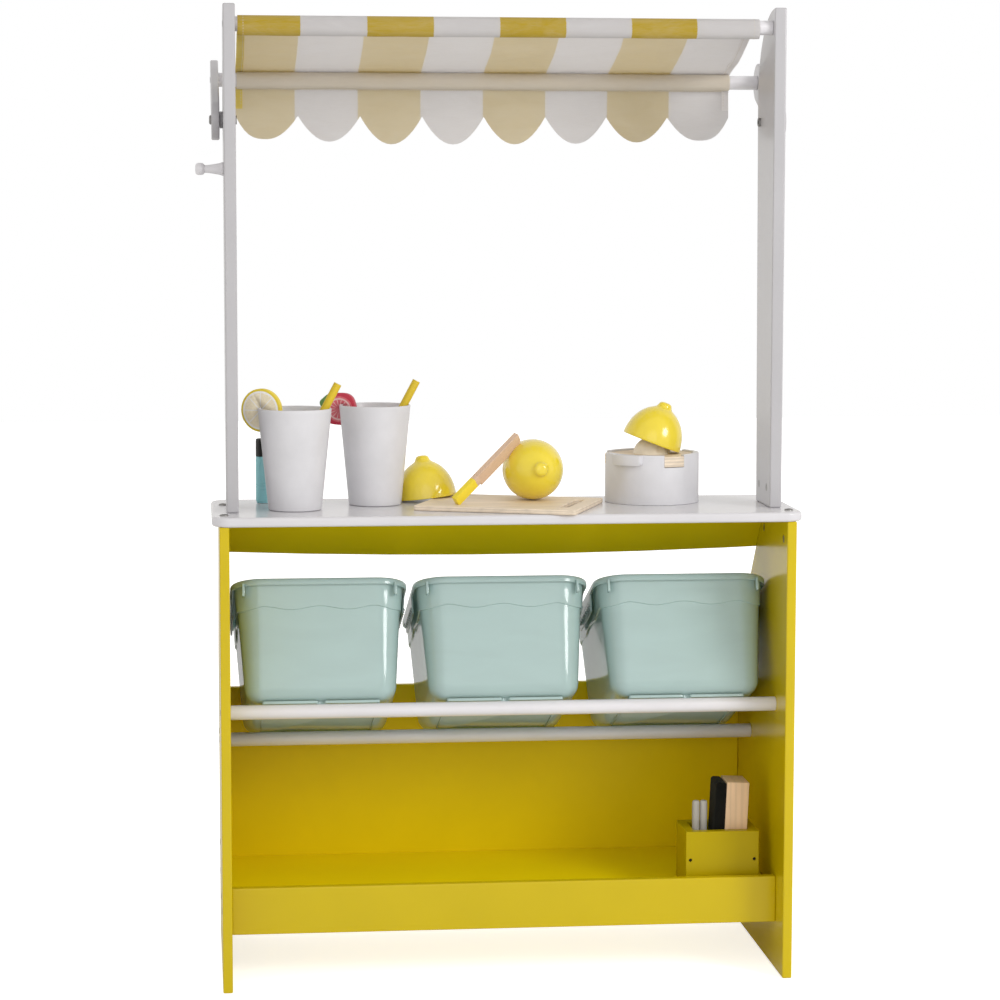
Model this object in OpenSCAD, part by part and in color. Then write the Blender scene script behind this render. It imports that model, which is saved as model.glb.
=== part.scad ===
// Toy market stall, seen from the seller's side: lacquered cabinet, counter, striped awning, three bins
// and the loose play food that stands on the counter. Millimetres, +Z up, +Y towards the customers.

/* [Overall] */
// Height from the floor to the top of the posts
overall_h = 1210; // [1100:5:1400]
// Width over the two side panels
body_w = 712; // [690:2:860]
// Depth of a side panel on the floor
body_d = 330; // [310:2:400]
// Height of the underside of the counter
counter_under_h = 578; // [560:2:660]

/* [Boards] */
// Thickness of the lacquered cabinet boards
board_t = 12; // [10:1:16]
// Thickness of the two posts
post_t = 15; // [13:1:20]
// Gap left round loose and sliding pieces
loose_gap = 0.3; // [0.2:0.05:0.5]
// Radial clearance of a fastener in its hole
bolt_gap = 0.2; // [0.1:0.05:0.4]
// Radial clearance of the awning arms on their pivot bolts
running_gap = 0.06; // [0.02:0.01:0.1]

/* [Side panels] */
// Depth of a side panel under the counter
panel_top_d = 155; // [150:1:200]
// Height where the front edge starts to slant back
slant_foot_h = 375; // [350:1:420]
// Radius that eases the foot of the slant
slant_r = 45; // [10:1:80]

/* [Counter] */
// How far the counter stands out beside the side panels
counter_over = 9; // [4:0.5:30]
// Depth of the counter
counter_d = 221; // [210:1:300]
// Thickness of the counter
counter_t = 12; // [10:1:18]
// Plan radius of the counter's corners
counter_r = 22; // [8:1:40]
// Radius that rounds the counter's edge
counter_edge_r = 3.5; // [1:0.5:5]
// How far the counter stands out behind the side panels
counter_back = 3; // [0:0.5:12]

/* [Front and shelf] */
// Height of the front panel's top edge
front_top_h = 329; // [300:1:345]
// Height of the front panel's lower edge
front_low_h = 60; // [20:1:80]
// How far the front panel sits inside the side panels' front edges
front_inset = 7; // [0:0.5:20]
// Height of the shelf's upper face
shelf_h = 101; // [90:1:140]
// How far the shelf lip sits inside the side panels' rear edges
lip_inset = 47; // [20:1:60]
// Height of the shelf lip
lip_h = 59; // [40:1:80]
// How far the lip stands above the shelf
lip_rise = 19; // [8:1:30]
// Length of the apron down its slope, at its ends
apron_l = 72; // [50:1:100]
// How far the apron's lower edge bows down in the middle
apron_bow = 11; // [4:0.5:20]

/* [Posts] */
// How far the posts stand in from the side panels' outer faces
post_side_in = 9.5; // [4:0.5:30]
// How far the posts stand in from the side panels' rear edges
post_inset = 52; // [30:1:70]
// Depth of a post at its foot
post_foot_d = 90; // [70:1:100]
// Radius of a post's rounded head, which is its depth there
post_head_r = 105; // [95:1:120]

/* [Rails] */
// Diameter of the round rails
rail_dia = 18; // [14:1:24]
// Height of the upper bin rail
upper_rail_h = 339; // [325:1:380]
// Distance of the upper bin rail from the rear edges
upper_rail_y = 65; // [55:1:80]
// Height of the lower bin rail
lower_rail_h = 275; // [255:1:300]
// Distance of the lower bin rail from the rear edges
lower_rail_y = 226; // [200:1:250]

/* [Awning] */
// Height of the rear canopy rail below the post tops
canopy_rail_drop = 24; // [18:1:40]
// Distance of the rear canopy rail from the posts' rear edges
canopy_rail_in = 18; // [14:1:30]
// Height of the arm pivot below the post tops
pivot_drop = 138; // [120:1:180]
// Distance of the arm pivot from the posts' rear edges
pivot_in = 88.5; // [70:0.5:90]
// Length of an arm from its pivot to the front rail
arm_l = 133; // [110:1:145]
// Angle of the arms above level, at rest
arm_rest_a = 24; // [15:1:35]
// Width of an arm
arm_w = 50; // [36:1:60]
// Thickness of an arm
arm_t = 10; // [8:1:15]
// Thickness of the spacers between arms and posts
spacer_t = 4; // [3:0.5:8]
// Diameter of the spacers
spacer_dia = 21; // [16:1:30]
// Gap between the left post and the canopy cloth
cloth_gap_left = 3; // [2:0.5:30]
// Gap between the right post and the canopy cloth
cloth_gap_right = 17; // [2:0.5:40]
// Thickness of the canopy cloth
cloth_t = 1.2; // [0.8:0.1:2]
// Sag of the cloth between its rails
cloth_sag = 5; // [1:0.5:10]
// Length of the sewn sleeve beyond the rear rail
sleeve_l = 25; // [20:1:40]
// Number of scallops along the valance
scallop_n = 8; // [5:1:12]
// Drop of the valance from the front rail to the notches between scallops
valance_drop = 45; // [30:1:60]
// Depth of a scallop below those notches
scallop_d = 36; // [20:1:38]

/* [Peg] */
// Length of the hanging peg
peg_l = 34.5; // [20:0.5:60]
// Diameter of the peg's foot
peg_foot_dia = 16.8; // [12:0.2:24]
// Diameter of the peg's neck
peg_neck_dia = 9.4; // [6:0.2:14]
// Diameter of the peg's knob
peg_knob_dia = 15; // [10:0.2:22]
// Height of the peg below the post tops
peg_drop = 199; // [170:1:300]

/* [Bins] */
// Gap between the rims of two bins
bin_gap = 7; // [4:0.5:20]
// Gap between an outer bin's rim and its side panel
bin_side_gap = 1.5; // [1.5:0.5:20]
// Height of a bin
bin_h = 156; // [110:1:160]
// Wall thickness of a bin
bin_wall = 2.4; // [1.6:0.1:4]
// Lean of the bin's walls
bin_draft = 4.2; // [2:0.1:7]
// How far the rim stands out from the walls
bin_lip = 7; // [4:0.5:12]
// Height of the rim's skirt
bin_lip_h = 9; // [5:0.5:15]
// Plan radius of the bin's corners at the foot
bin_foot_r = 22; // [10:1:35]
// How far the bins reach behind the upper rail
bin_over = 10; // [8:0.5:14]
// Length of the hand grip under each side rim
bin_grip_l = 120; // [60:1:160]
// Drop of the hand grip below the rim
bin_grip_h = 24; // [12:1:40]

/* [Chalk caddy] */
// Width of the caddy
caddy_w = 94.5; // [80:0.5:100]
// Depth of the caddy
caddy_d = 74; // [65:1:90]
// Height of the caddy
caddy_h = 73; // [50:1:90]
// Distance of the caddy's right side from the right side panel
caddy_right = 17.5; // [5:0.5:30]
// Distance of the caddy from the shelf lip
caddy_back = 11; // [3:0.5:30]
// Diameter of a chalk stick
chalk_dia = 9.6; // [7:0.1:11]
// Length of a chalk stick
chalk_l = 96; // [70:1:110]
// Length of the eraser
eraser_l = 120; // [90:1:130]
// Depth of the eraser
eraser_d = 46; // [30:1:47]
// Thickness of the eraser's wooden back
eraser_wood_t = 29; // [15:0.5:29]
// Thickness of the eraser's felt
eraser_felt_t = 14; // [8:0.5:14]

/* [Cups] */
// Diameter of a cup at its rim
cup_rim_dia = 90; // [80:1:100]
// Diameter of a cup at its foot
cup_foot_dia = 66; // [60:1:75]
// Height of a cup
cup_h = 126; // [110:1:140]
// Wall thickness of a cup
cup_wall = 2.2; // [1.6:0.1:3]
// Diameter of a straw
straw_dia = 8.6; // [5:0.1:9]
// Lean of a straw from upright
straw_lean = 28; // [22:0.5:28.5]
// Length of a straw
straw_l = 174; // [150:1:200]
// Diameter of a fruit slice
slice_dia = 54; // [40:1:60]
// Thickness of a fruit slice
slice_t = 8; // [5:0.5:12]

/* [Lemons] */
// Diameter of a lemon
lemon_dia = 77; // [64:1:80]
// Length of half a lemon without its nub
lemon_dome_h = 45.5; // [40:0.5:52]
// Length of a lemon's nub
lemon_nub_l = 8.5; // [5:0.5:12]
// Diameter of a lemon's nub
lemon_nub_dia = 18.4; // [12:0.2:22]
// Depth of the hollow in the cut face of a squeezed half
lemon_hollow_d = 24; // [22:0.5:26]
// Diameter of that hollow
lemon_hollow_dia = 60; // [58:1:61]

/* [Board and knife] */
// Length of the cutting board
cut_board_l = 207; // [180:1:220]
// Width of the cutting board
cut_board_w = 156; // [150:1:180]
// Thickness of the cutting board
cut_board_t = 6; // [5:0.5:8]
// Corner radius of the cutting board
cut_board_r = 4; // [2:0.5:10]
// Length of the cutting board's hand slot
hand_slot_l = 96; // [70:1:120]
// Width of the hand slot
hand_slot_w = 12; // [10:0.5:25]
// Distance of the hand slot's middle from the board's right edge
hand_slot_in = 23; // [18:0.5:35]
// Turn of the cutting board on the counter
cut_board_a = -20.5; // [-30:0.5:-18]
// Length of the knife
knife_l = 114; // [100:1:120]
// Width of the knife's blade
blade_w = 17.5; // [14:0.5:18]
// Width of the knife's handle
handle_w = 13; // [11:0.1:15]
// Length of the knife's handle up to the blade's heel
handle_l = 42; // [28:1:48]
// Thickness of the knife
knife_t = 8; // [5:0.5:9]

/* [Juicer] */
// Diameter of the juicer
juicer_dia = 120; // [110:1:122]
// Height of the juicer
juicer_h = 63; // [50:1:75]
// Wall thickness of the juicer
juicer_wall = 7; // [5:0.5:9]
// Thickness of the plywood plate in its rim
plate_t = 13; // [9:0.5:16]
// How far the plate sits below the rim
plate_sink = 2; // [0.5:0.5:3]
// Width of the plate's tabs
tab_w = 28; // [16:1:30]
// Diameter of the reamer
reamer_dia = 48; // [36:1:50]
// Height of the reamer
reamer_h = 21; // [12:0.5:22]

/* [Marker] */
// Diameter of the marker pen
marker_dia = 18; // [14:0.5:22]
// Length of the marker's barrel
marker_barrel_l = 59; // [45:1:80]
// Length of the marker's cap
marker_cap_l = 22.5; // [15:0.5:35]

/* [Fasteners] */
// Radius of the wood screws
screw_r = 2; // [1.5:0.25:3]
// Length of the wood screws
screw_l = 40; // [30:1:50]
// Radius of a screw's head
screw_head_r = 4.4; // [3.5:0.1:5]
// Height of a screw's head
screw_head_t = 3; // [2:0.25:4]
// Radius of the machine bolts
bolt_r = 3; // [2.5:0.25:4]
// Radius of a bolt's head
bolt_head_r = 6; // [5:0.25:8]
// Height of a bolt's domed head
bolt_head_t = 2.5; // [2:0.25:3]
// Radius of a barrel nut
barrel_r = 4.8; // [4.2:0.1:5.5]
// Wood left behind a barrel nut
barrel_skin = 2; // [1:0.5:4]
// Distance of a barrel nut from the counter
barrel_depth = 24; // [18:1:35]
// Radius of a pivot nut
nut_r = 5.5; // [4.5:0.25:8]
// Height of a pivot nut
nut_t = 2.5; // [2:0.25:4]

/* [Places on the counter] */
// Clear width between the posts that the play pieces are made for
play_set_w = 663; // [600:1:760]
// Gap between the left post and the lemon slice on the left cup
slice_post_gap = 4.5; // [2:0.5:20]
// Clear distance between the rims of the two cups
cup_gap = 26.5; // [20:0.5:40]
// Clear distance between the right cup's foot and the lemon half
cup_lemon_gap = 5; // [4:0.1:12]
// Clear distance between the left cup's rim and the marker pen
marker_gap = 37; // [20:1:45]
// Clear distance between the cutting board's corner and the juicer
juicer_gap = 7; // [2:0.5:20]

/* [Hidden] */

$fn = 48;
hull_sides = 32;
arc_steps = 20;
overrun = 1;
lacquer_yellow = [0.91, 0.78, 0.10];
lacquer_white = [0.93, 0.93, 0.94];
cloth_yellow = [0.92, 0.86, 0.35];
mint = [0.66, 0.82, 0.77];
steel = [0.72, 0.72, 0.74];
bare_wood = [0.86, 0.73, 0.56];
lemon_yellow = [0.93, 0.80, 0.12];

// Main planes
inner_w = body_w - 2 * board_t;
half_in = inner_w / 2;
panel_mid_x = body_w / 2 - board_t / 2;
counter_h = counter_under_h + counter_t;
counter_w = body_w + 2 * counter_over;
front_out_y = body_d - front_inset;
front_in_y = front_out_y - board_t;
lip_front_y = lip_inset + board_t;
lip_top_h = shelf_h + lip_rise;
lip_mid_h = lip_top_h - lip_h / 2;
shelf_mid_h = shelf_h - board_t / 2;
counter_front_y = counter_d - counter_back;

// Slanted front edge of the side panels, from its foot up to the counter
slant_run = body_d - panel_top_d;
slant_rise = counter_under_h - slant_foot_h;
slant_a = atan2(slant_rise, -slant_run);
slant_turn = slant_a - 90;
slant_lean = atan2(slant_run, slant_rise);

// Posts, rails and pivots
rail_r = rail_dia / 2;
post_out_x = body_w / 2 - post_side_in;
post_in_x = post_out_x - post_t;
post_gap_w = 2 * post_in_x;
canopy_rail_y = post_inset + canopy_rail_in;
canopy_rail_h = overall_h - canopy_rail_drop;
pivot_y = post_inset + pivot_in;
pivot_h = overall_h - pivot_drop;
front_rail_y = pivot_y + arm_l * cos(arm_rest_a);
front_rail_h = pivot_h + arm_l * sin(arm_rest_a);
arm_in_x = post_out_x + spacer_t;
arm_out_x = arm_in_x + arm_t;
peg_y = post_inset + post_foot_d / 2;
peg_h = overall_h - peg_drop;

// Fasteners
counter_bolt_l = barrel_depth + counter_t + barrel_r + 2 * bolt_r;
counter_bolt_ys = [board_t * 2, post_inset + post_foot_d + bolt_head_r + 2 * loose_gap];
post_bolt_shares = [0.25, 0.78];
post_bolt_ys = [for (s = post_bolt_shares) post_inset + post_foot_d * s];
post_bolt_x = half_in - bolt_head_r - loose_gap;
shelf_span = front_in_y - lip_front_y;
screw_shares = [0.22, 0.78];
frame_screw_places = [
    [lip_front_y + shelf_span * screw_shares[0], shelf_mid_h],
    [lip_front_y + shelf_span * screw_shares[1], shelf_mid_h],
    [lip_inset + board_t / 2, lip_mid_h],
    [front_in_y + board_t / 2, front_low_h + (front_top_h - front_low_h) * screw_shares[0]],
    [front_in_y + board_t / 2, front_low_h + (front_top_h - front_low_h) * screw_shares[1]],
    [upper_rail_y, upper_rail_h],
    [lower_rail_y, lower_rail_h]];
apron_screw_shares = [0.15, 0.5];

// Bins share the width between the side panels, lie on both bin rails and lean on the front panel's top edge
bin_n = 3;
bin_rim_w = (inner_w - 2 * bin_side_gap - (bin_n - 1) * bin_gap) / bin_n;
bin_pitch = bin_rim_w + bin_gap;
bin_tilt = atan2(upper_rail_h - lower_rail_h, lower_rail_y - upper_rail_y);
bin_seat = rail_r + loose_gap;
bin_y = upper_rail_y + bin_seat * sin(bin_tilt);
bin_z = upper_rail_h + bin_seat * cos(bin_tilt);
stop_y = (front_in_y - bin_y) * cos(bin_tilt) - (front_top_h - bin_z) * sin(bin_tilt);
stop_z = (front_in_y - bin_y) * sin(bin_tilt) + (front_top_h - bin_z) * cos(bin_tilt);
bin_flare = bin_h * tan(bin_draft);
bin_foot_d = stop_y - loose_gap / cos(bin_draft) - stop_z * tan(bin_draft) + bin_over;
bin_foot_w = bin_rim_w - 2 * bin_lip - 2 * bin_flare;
bin_reach = bin_foot_d - bin_over + bin_flare + bin_lip;
bin_reach_y = bin_y + bin_reach * cos(bin_tilt) + bin_h * sin(bin_tilt);
bin_base_t = bin_wall;

// Heights and turns of the loose pieces on the counter; they grow and shrink with the width between the posts
play_scale = post_gap_w / play_set_w;
rest_h = counter_h + loose_gap;
board_top_h = rest_h + cut_board_t;
lemon_turn = 5;
lemon_rise = 5;
knife_rise_a = 46;
knife_turn = 25;
knife_roll = 20;
squeeze_a = 21;
slice_turn = 27;
lemon_r = lemon_dia / 2;
cup_rim_r = cup_rim_dia / 2;
juicer_r = juicer_dia / 2;

// Places on the counter, from the left post to the right, each one measured from its neighbour
function toward(a, d) = d * [cos(a), sin(a)];
function turned(v, a) = [v[0] * cos(a) - v[1] * sin(a), v[0] * sin(a) + v[1] * cos(a)];
cup_row_share = 0.412;
cup_row_a = 27;
marker_a = 114;
juicer_a = 14;
lemon_half_shares = [-0.418, 0.753];
lemon_shares = [0.612, 0.681];
knife_depth_share = 1.02;
slice_reach = (cup_rim_r - cup_wall / 2 + slice_dia / 2) * cos(slice_turn) + slice_t / 2 * sin(slice_turn);
cup_left_place = [slice_post_gap + slice_reach - play_set_w / 2, counter_d * cup_row_share - counter_back];
cup_right_place = cup_left_place + toward(cup_row_a, cup_rim_dia + cup_gap);
cup_places = [cup_left_place, cup_right_place];
marker_place = cup_left_place + toward(marker_a, cup_rim_r + marker_dia / 2 + marker_gap);
lemon_half_place = cup_right_place + toward(cup_row_a, cup_foot_dia / 2 + lemon_r + cup_lemon_gap);
lemon_half_step = [lemon_r * lemon_half_shares[0], cut_board_w * lemon_half_shares[1]];
cut_board_place = lemon_half_place - turned(lemon_half_step, cut_board_a);
lemon_step = [cut_board_l * lemon_shares[0], cut_board_w * lemon_shares[1]];
lemon_place = cut_board_place + turned(lemon_step, cut_board_a);
board_far_corner = cut_board_place + turned([cut_board_l, cut_board_w], cut_board_a);
juicer_place = board_far_corner + toward(juicer_a, juicer_r + juicer_gap);

// The knife's edge just clears the lemon's side, and its foot stands on the board
knife_heel = blade_w - handle_w;
knife_run = (lemon_r + loose_gap + knife_heel + lemon_r * cos(knife_rise_a)) / sin(knife_rise_a);
knife_place = lemon_place - [knife_run, lemon_r * knife_depth_share];

// Rearmost point of the cutting board's rounded corner
board_corner_y = cut_board_place[1] + (cut_board_l - cut_board_r) * sin(cut_board_a)
    + cut_board_r * cos(cut_board_a) - cut_board_r;

// Shift that puts the origin under the middle of the whole part
left_reach = post_out_x + peg_l;
right_reach = max(counter_w / 2, arm_out_x + loose_gap + bolt_head_t);
frame_x = (left_reach - right_reach) / 2;
rear_reach = min(-counter_back, board_corner_y * play_scale);
front_reach = max(body_d, bin_reach_y);
frame_y = -(rear_reach + front_reach) / 2;

// Points along an arc about [cx, cy]
function arc_points(cx, cy, r, from, to, n = arc_steps) =
    [for (i = [0 : n]) let (a = from + (to - from) * i / n) [cx + r * cos(a), cy + r * sin(a)]];

// One piece in its colour, moved into the part's own frame
module piece(c) {
    translate([frame_x, frame_y, 0]) color(c) children();
}

// One play piece on the counter, in its colour and in the play set's scale
module toy(c) {
    translate([frame_x, frame_y, counter_h]) scale(play_scale) translate([0, 0, -counter_h])
        color(c) children();
}

// Flat profile in Y and Z, made a board of thickness t from x on
module along_x(x, t) {
    translate([x, 0, 0]) rotate([90, 0, 90]) linear_extrude(t) children();
}

// Round bar along X
module bar_x(x, y, z, l, r) {
    translate([x, y, z]) rotate([0, 90, 0]) cylinder(h = l, r = r);
}

module round_rect(w, d, r) {
    translate([-w / 2 + r, -d / 2]) square([w - 2 * r, d]);
    translate([-w / 2, -d / 2 + r]) square([w, d - 2 * r]);
    for (x = [-1, 1], y = [-1, 1])
        translate([x * (w / 2 - r), y * (d / 2 - r)]) circle(r);
}

// Screw along X: its head lies flush in the face at x, and it points along dir
module screw_x(x, y, z, dir, gap = 0) {
    translate([x, y, z]) rotate([0, dir * 90, 0]) {
        cylinder(h = screw_l + gap, r = screw_r + gap);
        cylinder(h = screw_head_t + gap, r = screw_head_r + gap);
    }
}

module frame_screw_set(gap = 0) {
    for (side = [-1, 1], p = frame_screw_places)
        screw_x(side * body_w / 2, p[0], p[1], -side, gap);
}

// Coordinates on the slant: up the slope from its foot, with the outward face at zero
module on_slant() {
    translate([0, body_d, slant_foot_h]) rotate([slant_lean, 0, 0]) children();
}

module apron_screw_set(gap = 0) {
    slope = norm([slant_run, slant_rise]);
    for (side = [-1, 1], s = apron_screw_shares)
        on_slant() translate([side * panel_mid_x, board_t, slope - apron_l * (1 - s)]) rotate([90, 0, 0]) {
            cylinder(h = screw_l + gap, r = screw_r + gap);
            cylinder(h = screw_head_t + gap, r = screw_head_r + gap);
        }
}

module counter_bolt_set(gap = 0) {
    for (side = [-1, 1], y = counter_bolt_ys)
        translate([side * panel_mid_x, y, counter_h - counter_bolt_l])
            cylinder(h = counter_bolt_l + bolt_head_t / 2, r = bolt_r + gap);
}

module counter_barrel_set(gap = 0) {
    for (side = [-1, 1], y = counter_bolt_ys)
        translate([side * half_in, y, counter_under_h - barrel_depth]) rotate([0, side * 90, 0])
            translate([0, 0, -overrun * sign(gap)])
                cylinder(h = board_t - barrel_skin + overrun * sign(gap), r = barrel_r + gap);
}

module post_bolt_set(gap = 0) {
    for (side = [-1, 1], y = post_bolt_ys)
        translate([side * post_bolt_x, y, counter_under_h])
            cylinder(h = counter_t + barrel_depth + barrel_r + bolt_r, r = bolt_r + gap);
}

module post_barrel_set(gap = 0) {
    for (side = [-1, 1], y = post_bolt_ys)
        translate([side * post_in_x, y, counter_h + barrel_depth]) rotate([0, side * 90, 0])
            translate([0, 0, -overrun * sign(gap)])
                cylinder(h = post_t - barrel_skin + overrun * sign(gap), r = barrel_r + gap);
}

module canopy_screw_set(gap = 0) {
    for (side = [-1, 1])
        screw_x(side * post_out_x, canopy_rail_y, canopy_rail_h, -side, gap);
}

module front_rail_screw_set(gap = 0) {
    for (side = [-1, 1])
        screw_x(side * arm_out_x, front_rail_y, front_rail_h, -side, gap);
}

module pivot_shank_set(gap = 0) {
    shank_l = arm_out_x + loose_gap - post_in_x + nut_t;
    for (side = [-1, 1])
        bar_x(side < 0 ? -arm_out_x - loose_gap : post_in_x - nut_t, pivot_y, pivot_h, shank_l, bolt_r + gap);
}

// Low domed head of radius r and height t, on the XY plane
module domed_head(r, t) {
    ball_r = (r * r + t * t) / (2 * t);
    half_a = asin(r / ball_r);
    rotate_extrude() polygon(concat([[0, 0]], arc_points(0, t - ball_r, ball_r, 90 - half_a, 90)));
}

// Cabinet boards
module side_panel(side) {
    piece(lacquer_yellow) difference() {
        along_x(side < 0 ? -body_w / 2 : half_in, board_t)
            polygon(concat([[0, 0], [body_d, 0]],
                arc_points(body_d - slant_r, slant_foot_h - slant_r * tan(slant_turn / 2), slant_r,
                    0, slant_turn),
                [[panel_top_d, counter_under_h], [0, counter_under_h]]));
        frame_screw_set(bolt_gap);
        apron_screw_set(bolt_gap);
        counter_bolt_set(bolt_gap);
        counter_barrel_set(bolt_gap);
    }
}
module left_side_panel() { side_panel(-1); }
module right_side_panel() { side_panel(1); }

module front_panel() {
    piece(lacquer_yellow) difference() {
        translate([-half_in, front_in_y, front_low_h]) cube([inner_w, board_t, front_top_h - front_low_h]);
        frame_screw_set(bolt_gap);
    }
}

// Board that lies on the slanted edges under the counter, with a bowed lower edge and a level top
module front_apron() {
    slope = norm([slant_run, slant_rise]);
    bow_r = (body_w * body_w / 4 + apron_bow * apron_bow) / (2 * apron_bow);
    top_over = board_t * tan(slant_lean);
    piece(lacquer_yellow) difference() {
        intersection() {
            on_slant() rotate([90, 0, 0]) translate([0, 0, -board_t]) linear_extrude(board_t) intersection() {
                translate([-body_w / 2, slope - apron_l - apron_bow])
                    square([body_w, apron_l + apron_bow + top_over]);
                translate([0, slope - apron_l - apron_bow + bow_r]) circle(bow_r, $fn = 180);
            }
            translate([-body_w / 2, 0, 0]) cube([body_w, body_d, counter_under_h]);
        }
        apron_screw_set(bolt_gap);
    }
}

module bottom_shelf() {
    piece(lacquer_yellow) difference() {
        translate([-half_in, lip_front_y, shelf_h - board_t]) cube([inner_w, shelf_span, board_t]);
        frame_screw_set(bolt_gap);
    }
}

module shelf_lip() {
    piece(lacquer_yellow) difference() {
        translate([-half_in, lip_inset, lip_top_h - lip_h]) cube([inner_w, board_t, lip_h]);
        frame_screw_set(bolt_gap);
    }
}

module counter_top() {
    edge_in = counter_r - counter_edge_r;
    piece(lacquer_white) difference() {
        hull() for (x = [-1, 1], y = [-1, 1])
            translate([x * (counter_w / 2 - counter_r),
                    counter_d / 2 - counter_back + y * (counter_d / 2 - counter_r), counter_under_h])
                rotate_extrude($fn = hull_sides) polygon(concat([[0, 0]],
                    arc_points(edge_in, counter_edge_r, counter_edge_r, -90, 0, 4),
                    arc_points(edge_in, counter_t - counter_edge_r, counter_edge_r, 0, 90, 4),
                    [[0, counter_t]]));
        counter_bolt_set(bolt_gap);
        post_bolt_set(bolt_gap);
    }
}

// Posts, with a quarter-round head
module post(side) {
    piece(lacquer_white) difference() {
        along_x(side < 0 ? -post_out_x : post_in_x, post_t)
            polygon(concat([[post_inset, counter_h], [post_inset + post_foot_d, counter_h]],
                arc_points(post_inset, overall_h - post_head_r, post_head_r, 0, 90)));
        post_bolt_set(bolt_gap);
        post_barrel_set(bolt_gap);
        canopy_screw_set(bolt_gap);
        pivot_shank_set(bolt_gap);
        if (side < 0)
            bar_x(-post_out_x - overrun, peg_y, peg_h, peg_tenon_l + overrun, peg_neck_dia / 2 + bolt_gap);
    }
}
peg_tenon_l = post_t * 2 / 3;
module left_post() { post(-1); }
module right_post() { post(1); }

// Round rails between the boards
module bin_rail(y, z) {
    piece(lacquer_white) difference() {
        bar_x(-half_in, y, z, inner_w, rail_r);
        frame_screw_set(bolt_gap);
    }
}
module upper_bin_rail() { bin_rail(upper_rail_y, upper_rail_h); }
module lower_bin_rail() { bin_rail(lower_rail_y, lower_rail_h); }

module rear_canopy_rail() {
    piece(lacquer_white) difference() {
        bar_x(-post_in_x, canopy_rail_y, canopy_rail_h, post_gap_w, rail_r);
        canopy_screw_set(bolt_gap);
    }
}

// Turned peg on the left post, with a tenon in the board
module hanging_peg() {
    foot_r = peg_foot_dia / 2;
    neck_r = peg_neck_dia / 2;
    knob_r = peg_knob_dia / 2;
    knob_round_share = 0.42;
    knob_l = peg_l / 3;
    knob_round = knob_l * knob_round_share;
    flare_shares = [[1, 0], [0.97, 0.08], [0.72, 0.2], [0.52, 0.38], [0.3, 0.62], [0.12, 0.85]];
    flare_l = peg_l - knob_l;
    piece(lacquer_white) translate([-post_out_x, peg_y, peg_h]) rotate([0, -90, 0]) {
        rotate_extrude() polygon(concat([[0, 0]],
            [for (s = flare_shares) [neck_r + (foot_r - neck_r) * s[0], flare_l * s[1]]],
            [[neck_r, flare_l]],
            arc_points(knob_r - knob_round, flare_l + knob_round, knob_round, -60, 0, 5),
            arc_points(knob_r - knob_round, peg_l - knob_round, knob_round, 0, 90, 6), [[0, peg_l]]));
        translate([0, 0, -peg_tenon_l]) cylinder(h = peg_tenon_l, r = neck_r);
    }
}

// Fasteners
module frame_screws() { piece(steel) frame_screw_set(); }
module apron_screws() { piece(steel) apron_screw_set(); }
module canopy_rail_screws() { piece(steel) canopy_screw_set(); }
module front_rail_screws() { piece(steel) front_rail_screw_set(); }

module counter_bolts() {
    piece(steel) {
        counter_bolt_set();
        for (side = [-1, 1], y = counter_bolt_ys)
            translate([side * panel_mid_x, y, counter_h]) domed_head(bolt_head_r, bolt_head_t);
    }
}

module counter_barrel_nuts() {
    piece(steel) difference() {
        counter_barrel_set();
        counter_bolt_set(bolt_gap);
    }
}

module post_bolts() {
    piece(steel) {
        post_bolt_set();
        for (side = [-1, 1], y = post_bolt_ys)
            translate([side * post_bolt_x, y, counter_under_h]) mirror([0, 0, 1])
                domed_head(bolt_head_r, bolt_head_t);
    }
}

module post_barrel_nuts() {
    piece(steel) difference() {
        post_barrel_set();
        post_bolt_set(bolt_gap);
    }
}

module arm_spacers() {
    piece(lacquer_white) difference() {
        for (side = [-1, 1])
            bar_x(side < 0 ? -arm_in_x + loose_gap : post_out_x, pivot_y, pivot_h,
                spacer_t - loose_gap, spacer_dia / 2);
        pivot_shank_set(bolt_gap);
    }
}

module arm_pivot_bolts() {
    piece(steel) {
        pivot_shank_set();
        for (side = [-1, 1])
            translate([side * (arm_out_x + loose_gap), pivot_y, pivot_h]) rotate([0, side * 90, 0])
                domed_head(bolt_head_r, bolt_head_t);
    }
}

module arm_pivot_nuts() {
    piece(steel) difference() {
        for (side = [-1, 1])
            bar_x(side < 0 ? -post_in_x : post_in_x - nut_t, pivot_y, pivot_h, nut_t, nut_r);
        pivot_shank_set(bolt_gap);
    }
}

// Awning arms, from the pivot up to the front rail
module canopy_arm(side) {
    piece(lacquer_white) difference() {
        along_x(side < 0 ? -arm_out_x : arm_in_x, arm_t)
            translate([pivot_y, pivot_h]) rotate(arm_rest_a) {
                circle(arm_w / 2);
                translate([arm_l, 0]) circle(arm_w / 2);
                translate([0, -arm_w / 2]) square([arm_l, arm_w]);
            }
        pivot_shank_set(running_gap);
        front_rail_screw_set(bolt_gap);
    }
}
module left_canopy_arm() { canopy_arm(-1); }
module right_canopy_arm() { canopy_arm(1); }

module front_canopy_rail() {
    piece(lacquer_white) difference() {
        bar_x(-arm_in_x, front_rail_y, front_rail_h, 2 * arm_in_x, rail_r);
        front_rail_screw_set(bolt_gap);
    }
}

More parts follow.
